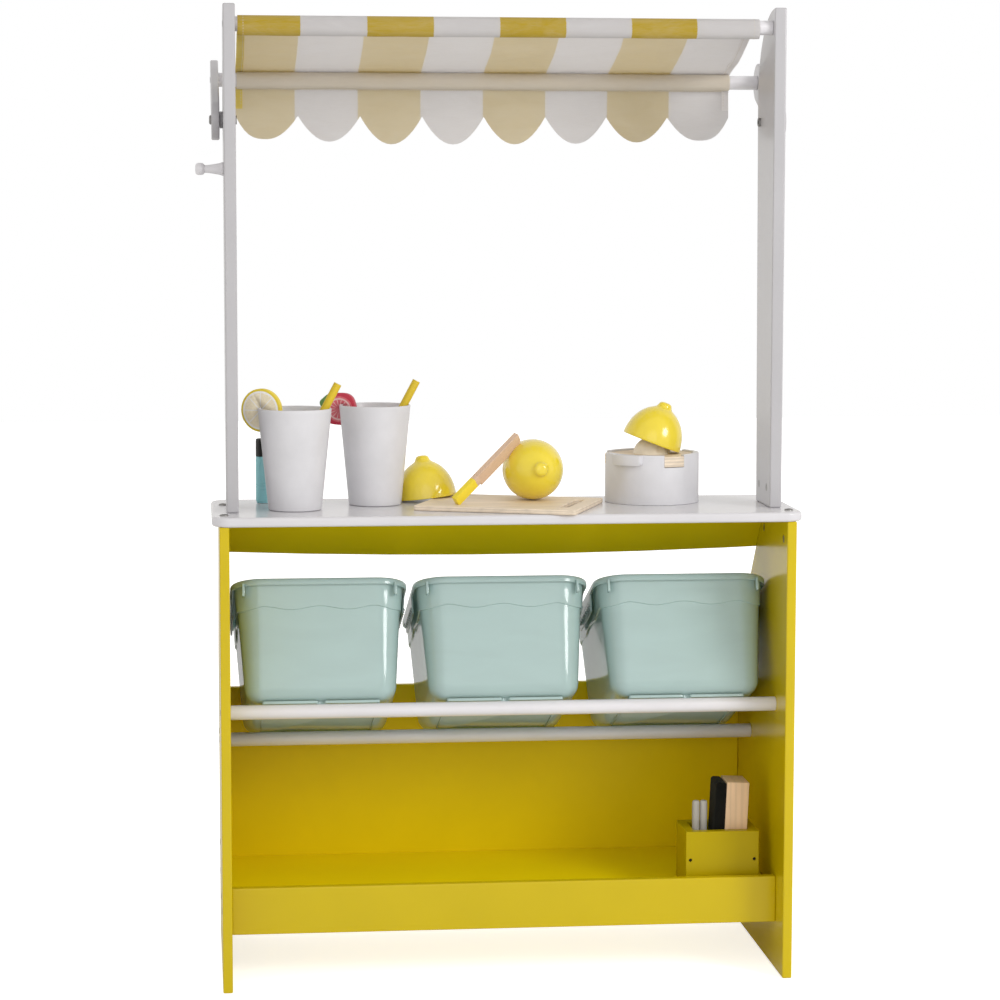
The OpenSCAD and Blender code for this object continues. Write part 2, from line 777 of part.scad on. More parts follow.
// Canopy cloth: a sewn sleeve round the rear rail, and one sheet that sags on its way to the front rail
cloth_x = cloth_gap_left - post_in_x;
cloth_w = post_gap_w - cloth_gap_left - cloth_gap_right;
sleeve_r = rail_r + loose_gap + cloth_t / 2;
front_lap_r = sleeve_r + cloth_t + loose_gap;
rail_span = norm([front_rail_y - canopy_rail_y, front_rail_h - canopy_rail_h]);
rail_fall_a = atan2(front_rail_h - canopy_rail_h, front_rail_y - canopy_rail_y);
sheet_a = rail_fall_a + asin((front_lap_r - sleeve_r) / rail_span);
sheet_l = sqrt(rail_span * rail_span - pow(front_lap_r - sleeve_r, 2));
sheet_steps = 16;
seam_gap = loose_gap + cloth_t;
seam_at = [sleeve_l, sleeve_r - seam_gap];
seam_a = atan2(seam_at[1], seam_at[0]) - acos(sleeve_r / norm(seam_at));

// How far the sheet hangs below its straight line, at the distance s from the rear rail
function sheet_sag(s) = s < sleeve_l ? 0
    : cloth_sag * pow(sin(180 * (s - sleeve_l) / (sheet_l - sleeve_l)), 2);

// Middle line of the cloth, with the rear rail's centre at zero and the sheet running along the first axis
function cloth_path() = concat([seam_at], arc_points(0, 0, sleeve_r, seam_a, 90 - 360),
    [for (i = [1 : sheet_steps]) let (s = sheet_l * i / sheet_steps) [s, sleeve_r - sheet_sag(s)]]);

// The path moved sideways by d, square to its own run
function beside(path, d) = [for (i = [0 : len(path) - 1])
    let (a = path[max(i - 1, 0)], b = path[min(i + 1, len(path) - 1)], v = (b - a) / norm(b - a))
    path[i] + d * [-v[1], v[0]]];

function back_to_front(list) = [for (i = [len(list) - 1 : -1 : 0]) list[i]];

module canopy_cloth() {
    path = cloth_path();
    piece(cloth_yellow) along_x(cloth_x, cloth_w)
        translate([canopy_rail_y, canopy_rail_h]) rotate(sheet_a)
            polygon(concat(beside(path, cloth_t / 2), back_to_front(beside(path, -cloth_t / 2))));
}

// Valance: a sleeve on the front rail with a scalloped skirt
module canopy_valance() {
    scallop_w = cloth_w / scallop_n;
    scallop_r = (scallop_w * scallop_w / 4 + scallop_d * scallop_d) / (2 * scallop_d);
    skirt_y = front_rail_y + rail_r + loose_gap + cloth_t / 2;
    piece(cloth_yellow) {
        difference() {
            bar_x(cloth_x, front_rail_y, front_rail_h, cloth_w, rail_r + loose_gap + cloth_t);
            bar_x(cloth_x - overrun, front_rail_y, front_rail_h, cloth_w + 2 * overrun, rail_r + loose_gap);
        }
        translate([cloth_x, skirt_y + cloth_t, front_rail_h]) rotate([90, 0, 0]) linear_extrude(cloth_t) {
            translate([0, -valance_drop - cloth_t]) square([cloth_w, valance_drop + cloth_t]);
            for (i = [0 : scallop_n - 1]) intersection() {
                translate([i * scallop_w + scallop_w / 2, -valance_drop - scallop_d + scallop_r])
                    circle(scallop_r, $fn = 96);
                translate([i * scallop_w, -valance_drop - scallop_d])
                    square([scallop_w, scallop_d]);
            }
        }
    }
}

// Bins: a tapered tub with a turned rim and a grip under each side
module bin_plan(grow) {
    round_rect(bin_foot_w + 2 * grow, bin_foot_d + 2 * grow, bin_foot_r + grow, $fn = hull_sides);
}

module bin_slab(h, grow) {
    translate([0, -bin_over + bin_foot_d / 2, h]) linear_extrude(bin_base_t) bin_plan(grow);
}

module bin(i) {
    grip_t = bin_wall;
    top_grow = bin_flare + bin_lip;
    piece(mint) translate([i * bin_pitch, bin_y, bin_z]) rotate([-bin_tilt, 0, 0]) {
        difference() {
            union() {
                hull() {
                    bin_slab(0, 0);
                    bin_slab(bin_h - bin_base_t, bin_flare);
                }
                translate([0, -bin_over + bin_foot_d / 2, bin_h - bin_lip_h]) linear_extrude(bin_lip_h)
                    difference() {
                        bin_plan(top_grow);
                        bin_plan(top_grow - grip_t);
                    }
                translate([0, -bin_over + bin_foot_d / 2, bin_h - bin_wall]) linear_extrude(bin_wall)
                    bin_plan(top_grow);
                for (side = [-1, 1])
                    translate([side * (bin_rim_w / 2 - grip_t / 2) - grip_t / 2,
                            -bin_over + bin_foot_d / 2 - bin_grip_l / 2, bin_h - bin_grip_h])
                        cube([grip_t, bin_grip_l, bin_grip_h]);
            }
            hull() {
                bin_slab(bin_base_t, -bin_wall);
                bin_slab(bin_h + overrun - bin_base_t, bin_flare - bin_wall);
            }
        }
    }
}
module bin_left() { bin(-1); }
module bin_middle() { bin(0); }
module bin_right() { bin(1); }

// Chalk caddy on the shelf, with what stands in it
caddy_x = half_in - caddy_right - caddy_w;
caddy_y = lip_front_y + caddy_back;
caddy_z = shelf_h + loose_gap;
caddy_floor_z = caddy_z + board_t;
caddy_hole_h = caddy_h / 2;
caddy_screw_l = screw_l * 2 / 3;
eraser_lean = 2.5;

module caddy_screw_set(gap = 0) {
    for (x = [caddy_x + board_t / 2, caddy_x + caddy_w - board_t / 2])
        translate([x, caddy_y + screw_r, caddy_z + caddy_hole_h]) rotate([-90, 0, 0])
            cylinder(h = caddy_screw_l + gap, r = screw_r + gap);
}

module chalk_caddy() {
    piece(lacquer_yellow) difference() {
        translate([caddy_x, caddy_y, caddy_z]) cube([caddy_w, caddy_d, caddy_h]);
        translate([caddy_x + board_t, caddy_y + board_t, caddy_floor_z])
            cube([caddy_w - 2 * board_t, caddy_d - 2 * board_t, caddy_h]);
        caddy_screw_set(bolt_gap);
        for (x = [caddy_x + board_t / 2, caddy_x + caddy_w - board_t / 2])
            translate([x, caddy_y - overrun, caddy_z + caddy_hole_h]) rotate([-90, 0, 0])
                cylinder(h = screw_r + overrun, r = screw_r + bolt_gap);
    }
}
module caddy_screws() { piece(steel) caddy_screw_set(); }

module chalk_stick(i) {
    tip = chalk_dia / 8;
    place_x = caddy_x + board_t + chalk_dia / 2 + loose_gap + i * (chalk_dia + loose_gap);
    place_y = caddy_y + caddy_d / 2 - chalk_dia;
    piece([0.93, 0.92, 0.90]) translate([place_x, place_y, caddy_floor_z + loose_gap])
        rotate_extrude() polygon([[0, 0], [chalk_dia / 2, 0], [chalk_dia / 2, chalk_l - tip],
            [chalk_dia / 2 - tip, chalk_l], [0, chalk_l]]);
}
module chalk_stick_left() { chalk_stick(0); }
module chalk_stick_right() { chalk_stick(1); }

// The eraser leans a little to the right in its slot
module in_eraser_place() {
    slot_right = caddy_x + caddy_w - board_t;
    thick = eraser_wood_t + eraser_felt_t;
    foot_x = slot_right - loose_gap - caddy_h * sin(eraser_lean) - thick / cos(eraser_lean);
    foot_z = caddy_floor_z + loose_gap + thick * sin(eraser_lean);
    translate([foot_x, caddy_y + (caddy_d - eraser_d) / 2, foot_z]) rotate([0, eraser_lean, 0]) children();
}

module eraser_block() {
    piece(bare_wood) in_eraser_place() translate([eraser_felt_t, 0, 0])
        cube([eraser_wood_t, eraser_d, eraser_l]);
}

module eraser_felt() {
    round_r = eraser_felt_t / 3;
    piece([0.07, 0.07, 0.08]) in_eraser_place() translate([0, eraser_d, 0]) rotate([90, 0, 0])
        linear_extrude(eraser_d) {
            translate([round_r, 0]) square([eraser_felt_t - round_r, eraser_l]);
            translate([0, round_r]) square([eraser_felt_t, eraser_l - 2 * round_r]);
            for (z = [round_r, eraser_l - round_r]) translate([round_r, z]) circle(round_r);
        }
}

// Cups, with a straw and a fruit slice each
cup_floor_share = 1.5;
cup_floor_t = cup_wall * cup_floor_share;
cup_slope_a = atan2((cup_rim_dia - cup_foot_dia) / 2, cup_h);
slit_w = cup_wall / cos(cup_slope_a) + 2 * loose_gap;

module at_cup(i) {
    translate([cup_places[i][0], cup_places[i][1], rest_h]) children();
}

module cup(i) {
    foot_r = cup_foot_dia / 2;
    floor_r = foot_r + cup_floor_t * tan(cup_slope_a) - cup_wall;
    toy(lacquer_white) at_cup(i) rotate_extrude($fn = 96)
        polygon([[0, 0], [foot_r, 0], [cup_rim_r, cup_h], [cup_rim_r - cup_wall, cup_h],
            [floor_r, cup_floor_t], [0, cup_floor_t]]);
}
module cup_left() { cup(0); }
module cup_right() { cup(1); }

module straw(i) {
    r = straw_dia / 2;
    foot_z = cup_floor_t + loose_gap + r * sin(straw_lean);
    rim_x = cup_rim_r - cup_wall - loose_gap - r / cos(straw_lean);
    foot_x = rim_x - (cup_h - foot_z) * tan(straw_lean);
    toy(lacquer_yellow) at_cup(i) translate([foot_x, 0, foot_z]) rotate([0, straw_lean, 0])
        cylinder(h = straw_l, r = r);
}
module straw_left() { straw(0); }
module straw_right() { straw(1); }

// A slice stands across the cup's rim, held by a slit that ends a little above the slice's middle
slit_top_share = 0.15;
slit_top = slice_dia / 2 * slit_top_share;

module on_rim(i) {
    rim_mid = cup_rim_r - cup_wall / 2;
    at_cup(i) rotate([0, 0, -slice_turn]) translate([-rim_mid, 0, cup_h + loose_gap]) children();
}

module rim_slit() {
    slit_d = slice_dia / 2 + slit_top + overrun;
    slit_lean = slit_d * tan(cup_slope_a);
    rotate([90, 0, 0]) translate([0, 0, -slice_t]) linear_extrude(2 * slice_t)
        polygon([[-slit_w / 2, 0], [slit_w / 2, 0], [slit_w / 2 + slit_lean, -slit_d],
            [-slit_w / 2 + slit_lean, -slit_d]]);
}

module lemon_slice() {
    toy([0.95, 0.85, 0.35]) on_rim(0) difference() {
        rotate([90, 0, 0]) translate([0, -slit_top, -slice_t / 2])
            cylinder(h = slice_t, r = slice_dia / 2, $fn = 72);
        rim_slit();
    }
}

// Berry slice on its side, with the leafy corner to the left
module berry_slice() {
    r = slice_dia / 2;
    berry_shares = [[-0.95, 0.08], [-0.8, 0.33], [-0.51, 0.54], [-0.1, 0.57], [0.32, 0.555], [0.58, 0.42],
        [0.72, 0.2], [0.8, -0.14], [0.76, -0.5], [0.6, -0.78], [0.3, -0.92], [0.04, -0.94], [-0.48, -0.88],
        [-0.74, -0.66], [-0.84, -0.3]];
    toy([0.80, 0.20, 0.27]) on_rim(1) difference() {
        rotate([90, 0, 0]) translate([0, 0, -slice_t / 2]) linear_extrude(slice_t)
            polygon([for (s = berry_shares) r * s]);
        rim_slit();
    }
}

// Marker pen that stands on its end
module at_marker() {
    translate([marker_place[0], marker_place[1], rest_h]) children();
}
marker_foot_t = marker_dia / 9;
marker_spigot_l = marker_cap_l / 2;
marker_spigot_share = 0.7;
marker_spigot_r = marker_dia / 2 * marker_spigot_share;

module marker_barrel() {
    r = marker_dia / 2;
    toy([0.42, 0.70, 0.70]) at_marker() {
        cylinder(h = marker_foot_t, r = r - marker_foot_t / 2);
        translate([0, 0, marker_foot_t]) cylinder(h = marker_barrel_l - marker_foot_t, r = r);
        translate([0, 0, marker_barrel_l]) cylinder(h = marker_spigot_l, r = marker_spigot_r);
    }
}

module marker_cap() {
    toy([0.12, 0.12, 0.13]) at_marker() translate([0, 0, marker_barrel_l + loose_gap]) difference() {
        cylinder(h = marker_cap_l, r = marker_dia / 2);
        translate([0, 0, -overrun]) cylinder(h = marker_spigot_l + overrun, r = marker_spigot_r + loose_gap);
    }
}

// Half a lemon on its cut face, with its nub up; a squeezed half is hollow
module half_lemon(hollow) {
    nub_r = lemon_nub_dia / 2;
    shoulder = lemon_nub_l / 4;
    dome_axis = lemon_dome_h / sqrt(1 - pow((nub_r + shoulder) / lemon_r, 2));
    tip_h = lemon_dome_h + lemon_nub_l;
    dome_a = asin(lemon_dome_h / dome_axis);
    hollow_r = lemon_hollow_dia / 2;
    difference() {
        rotate_extrude($fn = 72) polygon(concat([[0, 0]],
            [for (i = [0 : arc_steps]) let (a = dome_a * i / arc_steps)
                [lemon_r * cos(a), dome_axis * sin(a)]],
            arc_points(nub_r / 2, tip_h - nub_r / 2, nub_r / 2, 0, 90, 6), [[0, tip_h]]));
        if (hollow) rotate_extrude($fn = 72) polygon(concat([[0, -overrun], [hollow_r, -overrun]],
            [for (i = [0 : arc_steps]) let (a = 90 * i / arc_steps)
                [hollow_r * cos(a), lemon_hollow_d * sin(a)]]));
    }
}

// One edge of this half lies on the counter, the other leans on the cutting board's left edge
module lemon_half() {
    from_corner = lemon_half_place - cut_board_place;
    edge_gap = -from_corner * [cos(cut_board_a), sin(cut_board_a)];
    lean = atan2(cut_board_t + loose_gap, lemon_r + edge_gap);
    toy(lemon_yellow) translate([lemon_half_place[0], lemon_half_place[1], rest_h + lemon_r * sin(lean)])
        rotate([0, -lean, cut_board_a]) half_lemon(false);
}

// The whole lemon is two halves that cling together at the cut
module lemon_side(dir) {
    toy(lemon_yellow) translate([lemon_place[0], lemon_place[1], board_top_h + loose_gap + lemon_r])
        rotate([-lemon_rise, 0, lemon_turn]) translate([0, -dir * loose_gap / 2, 0])
            rotate([dir * 90, 0, 0]) half_lemon(false);
}
module lemon_near_half() { lemon_side(1); }
module lemon_far_half() { lemon_side(-1); }

// Cutting board with a long hand slot beside its right edge
module cutting_board() {
    slot_r = hand_slot_w / 2;
    toy(bare_wood) translate([cut_board_place[0], cut_board_place[1], rest_h]) rotate([0, 0, cut_board_a])
        linear_extrude(cut_board_t) difference() {
            translate([cut_board_l / 2, cut_board_w / 2]) round_rect(cut_board_l, cut_board_w, cut_board_r);
            translate([cut_board_l - hand_slot_in, cut_board_w / 2]) {
                square([hand_slot_w, hand_slot_l - hand_slot_w], center = true);
                for (y = [-1, 1]) translate([0, y * (hand_slot_l / 2 - slot_r)]) circle(slot_r);
            }
        }
}

// Knife that leans on the lemon, handle down; spine and handle share one straight edge that ends in the tip
module toy_knife() {
    rise = atan(tan(knife_rise_a) * cos(knife_turn));
    foot_lift = knife_t / 2 * sin(knife_roll) * cos(rise) + loose_gap;
    toy(bare_wood) translate([knife_place[0], knife_place[1], board_top_h + foot_lift])
        rotate([0, -rise, knife_turn]) rotate([90 + knife_roll, 0, 0]) translate([0, 0, -knife_t / 2])
            linear_extrude(knife_t)
                polygon(concat([[0, 0], [handle_l, 0], [handle_l, -knife_heel]],
                    arc_points(knife_l - blade_w, handle_w, blade_w, -90, 0), [[0, handle_w]]));
}

// Juicer: a round tub, a plywood plate with three tabs let into its rim, a domed reamer and a pouring lip
plate_r = juicer_r - juicer_wall - loose_gap;
plate_top_h = juicer_h - plate_sink;
ledge_h = plate_top_h - plate_t - loose_gap;
ledge_w = juicer_wall / 2;
tab_angles = [20, 140, 260];
spout_a = -40;
spout_shares = [1.45, 0.35];
spout_w = tab_w * spout_shares[0];
spout_h = plate_t;
spout_wall = juicer_wall * spout_shares[1];

module at_juicer(z) {
    translate([juicer_place[0], juicer_place[1], rest_h + z]) children();
}

module juicer_body() {
    toy(lacquer_white) at_juicer(0) difference() {
        cylinder(h = juicer_h, r = juicer_r, $fn = 96);
        translate([0, 0, juicer_wall]) cylinder(h = juicer_h, r = juicer_r - juicer_wall - ledge_w, $fn = 96);
        translate([0, 0, ledge_h]) cylinder(h = juicer_h, r = juicer_r - juicer_wall, $fn = 96);
        for (a = tab_angles) rotate([0, 0, a])
            translate([-tab_w / 2 - loose_gap, -juicer_r - overrun, ledge_h - loose_gap])
                cube([tab_w + 2 * loose_gap, juicer_r, juicer_h]);
    }
}

module juicer_plate() {
    toy(bare_wood) at_juicer(plate_top_h - plate_t) {
        cylinder(h = plate_t, r = plate_r, $fn = 96);
        intersection() {
            cylinder(h = plate_t, r = juicer_r, $fn = 96);
            for (a = tab_angles) rotate([0, 0, a])
                translate([-tab_w / 2, -juicer_r, 0]) cube([tab_w, juicer_r, plate_t]);
        }
    }
}

module juicer_reamer() {
    r = reamer_dia / 2;
    toy(bare_wood) at_juicer(plate_top_h) rotate_extrude($fn = 72) polygon(concat([[0, 0]],
        [for (i = [0 : arc_steps]) let (a = 90 * i / arc_steps) [r * cos(a), reamer_h * sin(a)]]));
}

// Shallow trough on the tub's wall, level with its rim, with rounded lower corners
module juicer_spout() {
    lip_r = juicer_r + juicer_wall;
    corner_r = spout_h / 4;
    toy(lacquer_white) at_juicer(juicer_h - spout_h) rotate([0, 0, spout_a]) intersection() {
        difference() {
            cylinder(h = spout_h, r = lip_r, $fn = 96);
            translate([0, 0, -overrun]) cylinder(h = spout_h + 2 * overrun, r = juicer_r, $fn = 96);
            intersection() {
                translate([0, 0, spout_wall]) cylinder(h = spout_h, r = lip_r - spout_wall, $fn = 96);
                translate([spout_wall - spout_w / 2, -lip_r, spout_wall])
                    cube([spout_w - 2 * spout_wall, lip_r, spout_h]);
            }
        }
        rotate([90, 0, 0]) linear_extrude(lip_r) {
            translate([-spout_w / 2, corner_r]) square([spout_w, spout_h - corner_r]);
            translate([corner_r - spout_w / 2, 0]) square([spout_w - 2 * corner_r, spout_h]);
            for (x = [-1, 1]) translate([x * (spout_w / 2 - corner_r), corner_r]) circle(corner_r);
        }
    }
}

// The squeezed half lies askew over the reamer, one edge down on the plate
module squeezed_lemon_half() {
    offset_x = reamer_dia / 48;
    toy(lemon_yellow) at_juicer(plate_top_h + loose_gap + lemon_r * sin(squeeze_a))
        translate([offset_x, 0, 0]) rotate([0, squeeze_a, 0]) half_lemon(true);
}

left_side_panel();
right_side_panel();
front_panel();
front_apron();
bottom_shelf();
shelf_lip();
counter_top();
left_post();
right_post();
upper_bin_rail();
lower_bin_rail();
rear_canopy_rail();
hanging_peg();
frame_screws();
apron_screws();
canopy_rail_screws();
counter_bolts();
counter_barrel_nuts();
post_bolts();
post_barrel_nuts();
arm_spacers();
arm_pivot_bolts();
arm_pivot_nuts();
left_canopy_arm();
right_canopy_arm();
front_canopy_rail();
front_rail_screws();
canopy_cloth();
canopy_valance();
bin_left();
bin_middle();
bin_right();
chalk_caddy();
caddy_screws();
chalk_stick_left();
chalk_stick_right();
eraser_block();
eraser_felt();
cup_left();
cup_right();
straw_left();
straw_right();
lemon_slice();
berry_slice();
marker_barrel();
marker_cap();
lemon_half();
lemon_near_half();
lemon_far_half();
squeezed_lemon_half();
cutting_board();
toy_knife();
juicer_body();
juicer_plate();
juicer_reamer();
juicer_spout();
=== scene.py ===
"""Looks of the toy market stall: every visible piece is built round the CAD frame in model.glb."""

import math

import bmesh
import bpy
from mathutils import Matrix, Vector, noise


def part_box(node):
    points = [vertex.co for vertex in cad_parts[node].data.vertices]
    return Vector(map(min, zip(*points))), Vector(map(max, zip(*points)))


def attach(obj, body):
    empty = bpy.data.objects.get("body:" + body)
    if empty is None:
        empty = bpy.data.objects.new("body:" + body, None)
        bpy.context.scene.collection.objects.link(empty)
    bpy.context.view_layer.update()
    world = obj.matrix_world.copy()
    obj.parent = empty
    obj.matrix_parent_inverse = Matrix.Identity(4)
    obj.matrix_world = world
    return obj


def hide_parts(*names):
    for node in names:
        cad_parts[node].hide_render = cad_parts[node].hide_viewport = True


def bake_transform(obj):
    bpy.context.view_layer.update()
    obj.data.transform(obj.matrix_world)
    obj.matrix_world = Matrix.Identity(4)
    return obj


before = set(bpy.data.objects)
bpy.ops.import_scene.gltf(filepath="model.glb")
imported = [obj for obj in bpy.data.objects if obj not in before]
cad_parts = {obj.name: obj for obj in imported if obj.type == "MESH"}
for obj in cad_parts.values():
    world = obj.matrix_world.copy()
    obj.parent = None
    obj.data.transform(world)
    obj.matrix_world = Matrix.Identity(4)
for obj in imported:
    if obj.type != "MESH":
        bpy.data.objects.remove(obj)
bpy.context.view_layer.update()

bl_info = {
    "name": "Toy market stall",
    "version": (1, 0, 0),
    "blender": (4, 5, 0),
    "location": "View3D > Sidebar > Stall",
    "description": "Builds the looks of a toy market stall round its CAD frame",
    "category": "Add Mesh",
}

MM = 0.001


def srgb(r, g, b):
    """Linear colour of three screen values from 0 to 255."""
    return tuple((c / 255 / 12.92) if c < 11 else ((c / 255 + 0.055) / 1.055) ** 2.4 for c in (r, g, b))


def colour_prop(name, description, screen):
    return bpy.props.FloatVectorProperty(
        name=name, description=description, default=srgb(*screen), size=3, subtype="COLOR", min=0, max=1
    )


def length_prop(name, description, millimetres):
    return bpy.props.FloatProperty(
        name=name, description=description, default=millimetres * MM, unit="LENGTH", precision=5
    )


def share_prop(name, description, value):
    return bpy.props.FloatProperty(
        name=name, description=description, default=value, subtype="FACTOR", min=0, max=1
    )


def amount_prop(name, description, value):
    return bpy.props.FloatProperty(name=name, description=description, default=value, min=0)


def angle_prop(name, description, degrees):
    return bpy.props.FloatProperty(
        name=name, description=description, default=math.radians(degrees), unit="ROTATION"
    )


def count_prop(name, description, value):
    return bpy.props.IntProperty(name=name, description=description, default=value, min=1)


class StallBoards(bpy.types.PropertyGroup):
    """Lacquered boards, posts and rails."""

    yellow: colour_prop("Yellow", "Lacquer of the cabinet", (234, 206, 4))
    white: colour_prop("White", "Lacquer of the counter, posts and rails", (214, 212, 215))
    ease: length_prop("Edge radius", "Radius that eases the boards' edges", 1.5)
    gloss: share_prop("Roughness", "Roughness of the lacquer", 0.24)
    steel: colour_prop("Steel", "Zinc plating of the fasteners", (150, 148, 146))


class StallCloth(bpy.types.PropertyGroup):
    """Striped canopy and valance."""

    yellow: colour_prop("Yellow", "Printed stripes on the outside", (207, 180, 46))
    white: colour_prop("White", "Stripes between the yellow ones, outside", (224, 222, 222))
    yellow_back: colour_prop("Yellow, inside", "Yellow stripes as they show through", (249, 242, 224))
    white_back: colour_prop("White, inside", "White stripes on the inside", (252, 250, 250))
    lining: colour_prop("Sleeve", "Plain strip sewn on for the front rail", (242, 235, 222))
    thread: colour_prop("Thread", "Sewing thread", (232, 226, 214))
    thick: length_prop("Thickness", "Thickness of the cloth", 1.0)
    hem: length_prop("Hem", "Width of the folded side hems", 9.6)
    stitch: length_prop("Stitch pitch", "Distance from stitch to stitch", 3.4)
    wrinkle: length_prop("Wrinkles", "Height of the wrinkles in the sheet", 1.4)


class StallBins(bpy.types.PropertyGroup):
    """Moulded bins."""

    mint: colour_prop("Mint", "Plastic of the bins", (189, 213, 210))
    wave: length_prop("Wave", "Height of the wavy line's swing", 2.3)
    line_drop: length_prop("Line drop", "Distance of the wavy line below the rim", 37)
    foot_round: length_prop("Foot radius", "Radius that rounds the foot's edge", 19)
    ribs: count_prop("Grip ribs", "Ribs along each hand grip", 9)


class StallPlay(bpy.types.PropertyGroup):
    """Play food and tools."""

    wood: colour_prop("Bare wood", "Sanded beech and plywood", (236, 219, 196))
    lemon: colour_prop("Lemon", "Paint of the lemons", (238, 214, 52))
    straw: colour_prop("Straw", "Paint of the straws", (214, 184, 30))
    cup: colour_prop("Cup", "Paint of the cups and the juicer", (214, 213, 216))
    berry: colour_prop("Berry", "Paint of the berry slice", (196, 40, 66))
    teal: colour_prop("Teal", "Barrel of the marker pen", (150, 214, 220))
    dark: colour_prop("Black", "Cap of the marker and felt of the eraser", (20, 20, 17))
    chalk: colour_prop("Chalk", "Chalk sticks", (178, 174, 166))


class StallStage(bpy.types.PropertyGroup):
    """Studio round the stall."""

    sky: amount_prop("Sky", "Strength of the even light at eye level", 0.95)
    zenith: amount_prop("Zenith", "Strength of the even light overhead", 0.7)
    key: amount_prop("Key", "Power of the key light in watts", 38)
    fill: amount_prop("Fill", "Power of the fill light in watts", 10)
    lens: amount_prop("Lens", "Focal length in millimetres", 103.74)
    eye: bpy.props.FloatVectorProperty(
        name="Eye",
        description="Place of the camera",
        default=(-0.3761, -3.65686, 0.97585),
        size=3,
        unit="LENGTH",
    )
    yaw: angle_prop("Yaw", "Turn to the right", 6.06)
    pitch: angle_prop("Pitch", "Tilt downwards", 5.98)
    roll: angle_prop("Roll", "Turn about the line of sight", 0.09)


# Places that the CAD sets

MID_X = (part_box("left_side_panel")[0].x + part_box("right_side_panel")[1].x) / 2


def middle(node):
    """Centre of a CAD node's box."""
    low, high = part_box(node)
    return (low + high) / 2


def size_of(node):
    """Width, depth and height of a CAD node's box."""
    low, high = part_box(node)
    return high - low


def foot_of(node):
    """Place of a CAD node's foot: the middle of its box, at the bottom."""
    low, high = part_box(node)
    return Matrix.Translation(((low.x + high.x) / 2, (low.y + high.y) / 2, low.z))


def turn(axis, degrees):
    return Matrix.Rotation(math.radians(degrees), 4, axis)


# Mesh helpers: shapes are written in millimetres in their own frame and placed by a matrix in metres


class Shape:
    """Vertices and faces of one piece in its own frame, with kinds of faces and, for cloth, flat places."""

    def __init__(self):
        self.verts, self.faces, self.kinds, self.flat = [], [], [], []

    def add(self, verts, faces):
        start = len(self.verts)
        self.verts += [Vector(v) for v in verts]
        self.faces += [tuple(i + start for i in f) for f in faces]
        self.kinds += [0] * len(faces)
        return self

    def loft(self, rings):
        """Skin over closed rings of points, with a face over the first ring and the last."""
        n, bands = len(rings[0]), len(rings) - 1
        faces = [
            (i * n + j, i * n + (j + 1) % n, (i + 1) * n + (j + 1) % n, (i + 1) * n + j)
            for i in range(bands)
            for j in range(n)
        ]
        faces.append(tuple(range(n - 1, -1, -1)))
        faces.append(tuple(range(bands * n, (bands + 1) * n)))
        return self.add([p for ring in rings for p in ring], faces)

    def lathe(self, profile, steps, wobble=None):
        """Turn a profile of (radius, height) round Z; wobble scales the radius by angle and height."""
        rings = []
        for r, z in profile:
            ring = []
            for k in range(steps):
                a = 2 * math.pi * k / steps
                s = wobble(a, z) if wobble else 1
                ring.append(Vector((r * s * math.cos(a), r * s * math.sin(a), z)))
            rings.append(ring)
        return self.loft(rings)

    def block(self, low, high, ease):
        """Box with rounded edges."""
        bm = bmesh.new()
        bmesh.ops.create_cube(bm, size=1)
        low, high = Vector(low), Vector(high)
        for v in bm.verts:
            v.co = Vector(low[i] + (v.co[i] + 0.5) * (high[i] - low[i]) for i in range(3))
        bmesh.ops.bevel(bm, geom=bm.edges[:], offset=ease, segments=2, profile=0.5, affect="EDGES")
        bm.verts.index_update()
        self.add([v.co.copy() for v in bm.verts], [[v.index for v in f.verts] for f in bm.faces])
        bm.free()
        return self

    def build(self, name, matrix, angle=40):
        mesh = bpy.data.meshes.new(name)
        mesh.from_pydata([matrix @ (v * MM) for v in self.verts], [], self.faces)
        local = mesh.attributes.new("local", "FLOAT_VECTOR", "POINT")
        local.data.foreach_set("vector", [c for v in self.verts for c in v])
        kind = mesh.attributes.new("kind", "FLOAT", "FACE")
        kind.data.foreach_set("value", [float(k) for k in self.kinds])
        return finish_mesh(name, mesh, angle)


def linked(name, data):
    """New object in the scene."""
    obj = bpy.data.objects.new(name, data)
    bpy.context.scene.collection.objects.link(obj)
    return obj


def finish_mesh(name, mesh, angle, outward=True):
    """Object with smooth faces and sharp edges over an angle in degrees."""
    if outward:
        bm = bmesh.new()
        bm.from_mesh(mesh)
        bmesh.ops.recalc_face_normals(bm, faces=bm.faces[:])
        bm.to_mesh(mesh)
        bm.free()
    mesh.polygons.foreach_set("use_smooth", [True] * len(mesh.polygons))
    mesh.set_sharp_from_angle(angle=math.radians(angle))
    mesh.update()
    return linked(name, mesh)


def edge_groups(edges):
    """Connected groups of edges."""
    left, groups = set(edges), []
    while left:
        stack, group = [left.pop()], []
        while stack:
            e = stack.pop()
            group.append(e)
            for v in e.verts:
                for other in v.link_edges:
                    if other in left:
                        left.remove(other)
                        stack.append(other)
        groups.append(group)
    return groups


def merged_copy(node):
    """Mesh of a CAD node with its loose triangles joined."""
    bm = bmesh.new()
    bm.from_mesh(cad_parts[node].data)
    bmesh.ops.remove_doubles(bm, verts=bm.verts[:], dist=1e-6)
    return bm


